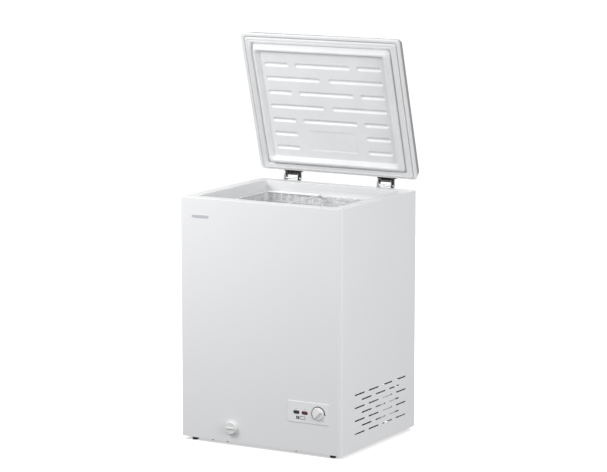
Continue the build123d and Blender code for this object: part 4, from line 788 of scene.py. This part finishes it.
def build_stage():
    """A pale floor, a bright soft room and three large lamps."""
    mesh = bpy.data.meshes.new("floor")
    corners = [(x * FLOOR_REACH, y * FLOOR_REACH, 0) for x, y in ((-1, -1), (1, -1), (1, 1), (-1, 1))]
    mesh.from_pydata(corners, [], [(0, 1, 2, 3)])
    floor = bpy.data.objects.new("floor", mesh)
    bpy.context.scene.collection.objects.link(floor)
    material = bpy.data.materials.new("pale_floor")
    material.use_nodes = True
    tree = material.node_tree
    shader = tree.nodes["Principled BSDF"]
    shader.inputs["Base Color"].default_value = (0.9, 0.9, 0.9, 1)
    shader.inputs["Roughness"].default_value = 0.9
    shader.inputs["Emission Color"].default_value = (1, 1, 1, 1)
    shader.inputs["Emission Strength"].default_value = 0.45
    mesh.materials.append(material)
    floor.visible_diffuse = False
    floor.visible_glossy = False

    world = bpy.data.worlds.new("studio")
    bpy.context.scene.world = world
    world.use_nodes = True
    tree = world.node_tree
    background = tree.nodes["Background"]
    place = tree.nodes.new("ShaderNodeTexCoord")
    split = tree.nodes.new("ShaderNodeSeparateXYZ")
    tree.links.new(place.outputs["Generated"], split.inputs["Vector"])
    ramp = tree.nodes.new("ShaderNodeMapRange")
    ramp.inputs["From Min"].default_value = -1.0
    ramp.inputs["From Max"].default_value = 1.0
    ramp.inputs["To Min"].default_value = ROOM_BELOW
    ramp.inputs["To Max"].default_value = ROOM_ABOVE
    tree.links.new(split.outputs["Z"], ramp.inputs["Value"])
    path = tree.nodes.new("ShaderNodeLightPath")
    choose = tree.nodes.new("ShaderNodeMix")
    tree.links.new(path.outputs["Is Camera Ray"], choose.inputs["Factor"])
    tree.links.new(ramp.outputs["Result"], choose.inputs["A"])
    choose.inputs["B"].default_value = BACKDROP
    tree.links.new(choose.outputs["Result"], background.inputs["Strength"])
    background.inputs["Color"].default_value = (1, 1, 1, 1)

    def lamp(name, place, target, size, power):
        light = bpy.data.lights.new(name, "AREA")
        light.shape = "DISK"
        light.size = size
        light.energy = power
        lamp_object = bpy.data.objects.new(name, light)
        bpy.context.scene.collection.objects.link(lamp_object)
        lamp_object.location = place
        aim = Vector(target) - Vector(place)
        lamp_object.rotation_euler = aim.to_track_quat("-Z", "Y").to_euler()

    lamp("key", (-1.15, -1.4, 1.75), (-0.1, -0.1, 0.9), 1.1, 28)
    lamp("fill", (2.9, -1.0, 1.3), (0.2, 0.0, 0.6), 1.8, 41)
    lamp("rear", (-0.8, 2.8, 2.4), (0.0, 0.2, 0.7), 2.0, 20)


CAMERA_AZIMUTH = math.radians(29.86)
CAMERA_ELEVATION = math.radians(9.09)
CAMERA_DISTANCE = 8.851
CAMERA_CENTRE = Vector((0, 0, 0.4))
CAMERA_SIDE = 0.0127
CAMERA_RAISE = 0.2515
CAMERA_LENS = 161.6
CAMERA_SENSOR = 36.0
CAMERA_CLIP = 100.0


def build_camera():
    """A long lens to the front right, a little above the cabinet."""
    a, e = CAMERA_AZIMUTH, CAMERA_ELEVATION
    back = Vector((math.sin(a) * math.cos(e), -math.cos(a) * math.cos(e), math.sin(e)))
    right = Vector((math.cos(a), math.sin(a), 0))
    up = back.cross(right)
    data = bpy.data.cameras.new("camera")
    data.lens = CAMERA_LENS
    data.sensor_width = CAMERA_SENSOR
    data.clip_end = CAMERA_CLIP
    camera = bpy.data.objects.new("camera", data)
    bpy.context.scene.collection.objects.link(camera)
    place = CAMERA_CENTRE + back * CAMERA_DISTANCE + right * CAMERA_SIDE + up * CAMERA_RAISE
    turn = Matrix((right, up, back)).transposed().to_4x4()
    camera.matrix_world = Matrix.Translation(place) @ turn
    bpy.context.scene.camera = camera


build_stage()
build_camera()
bpy.context.scene.view_settings.view_transform = "Standard"
bpy.context.scene.view_settings.look = "None"
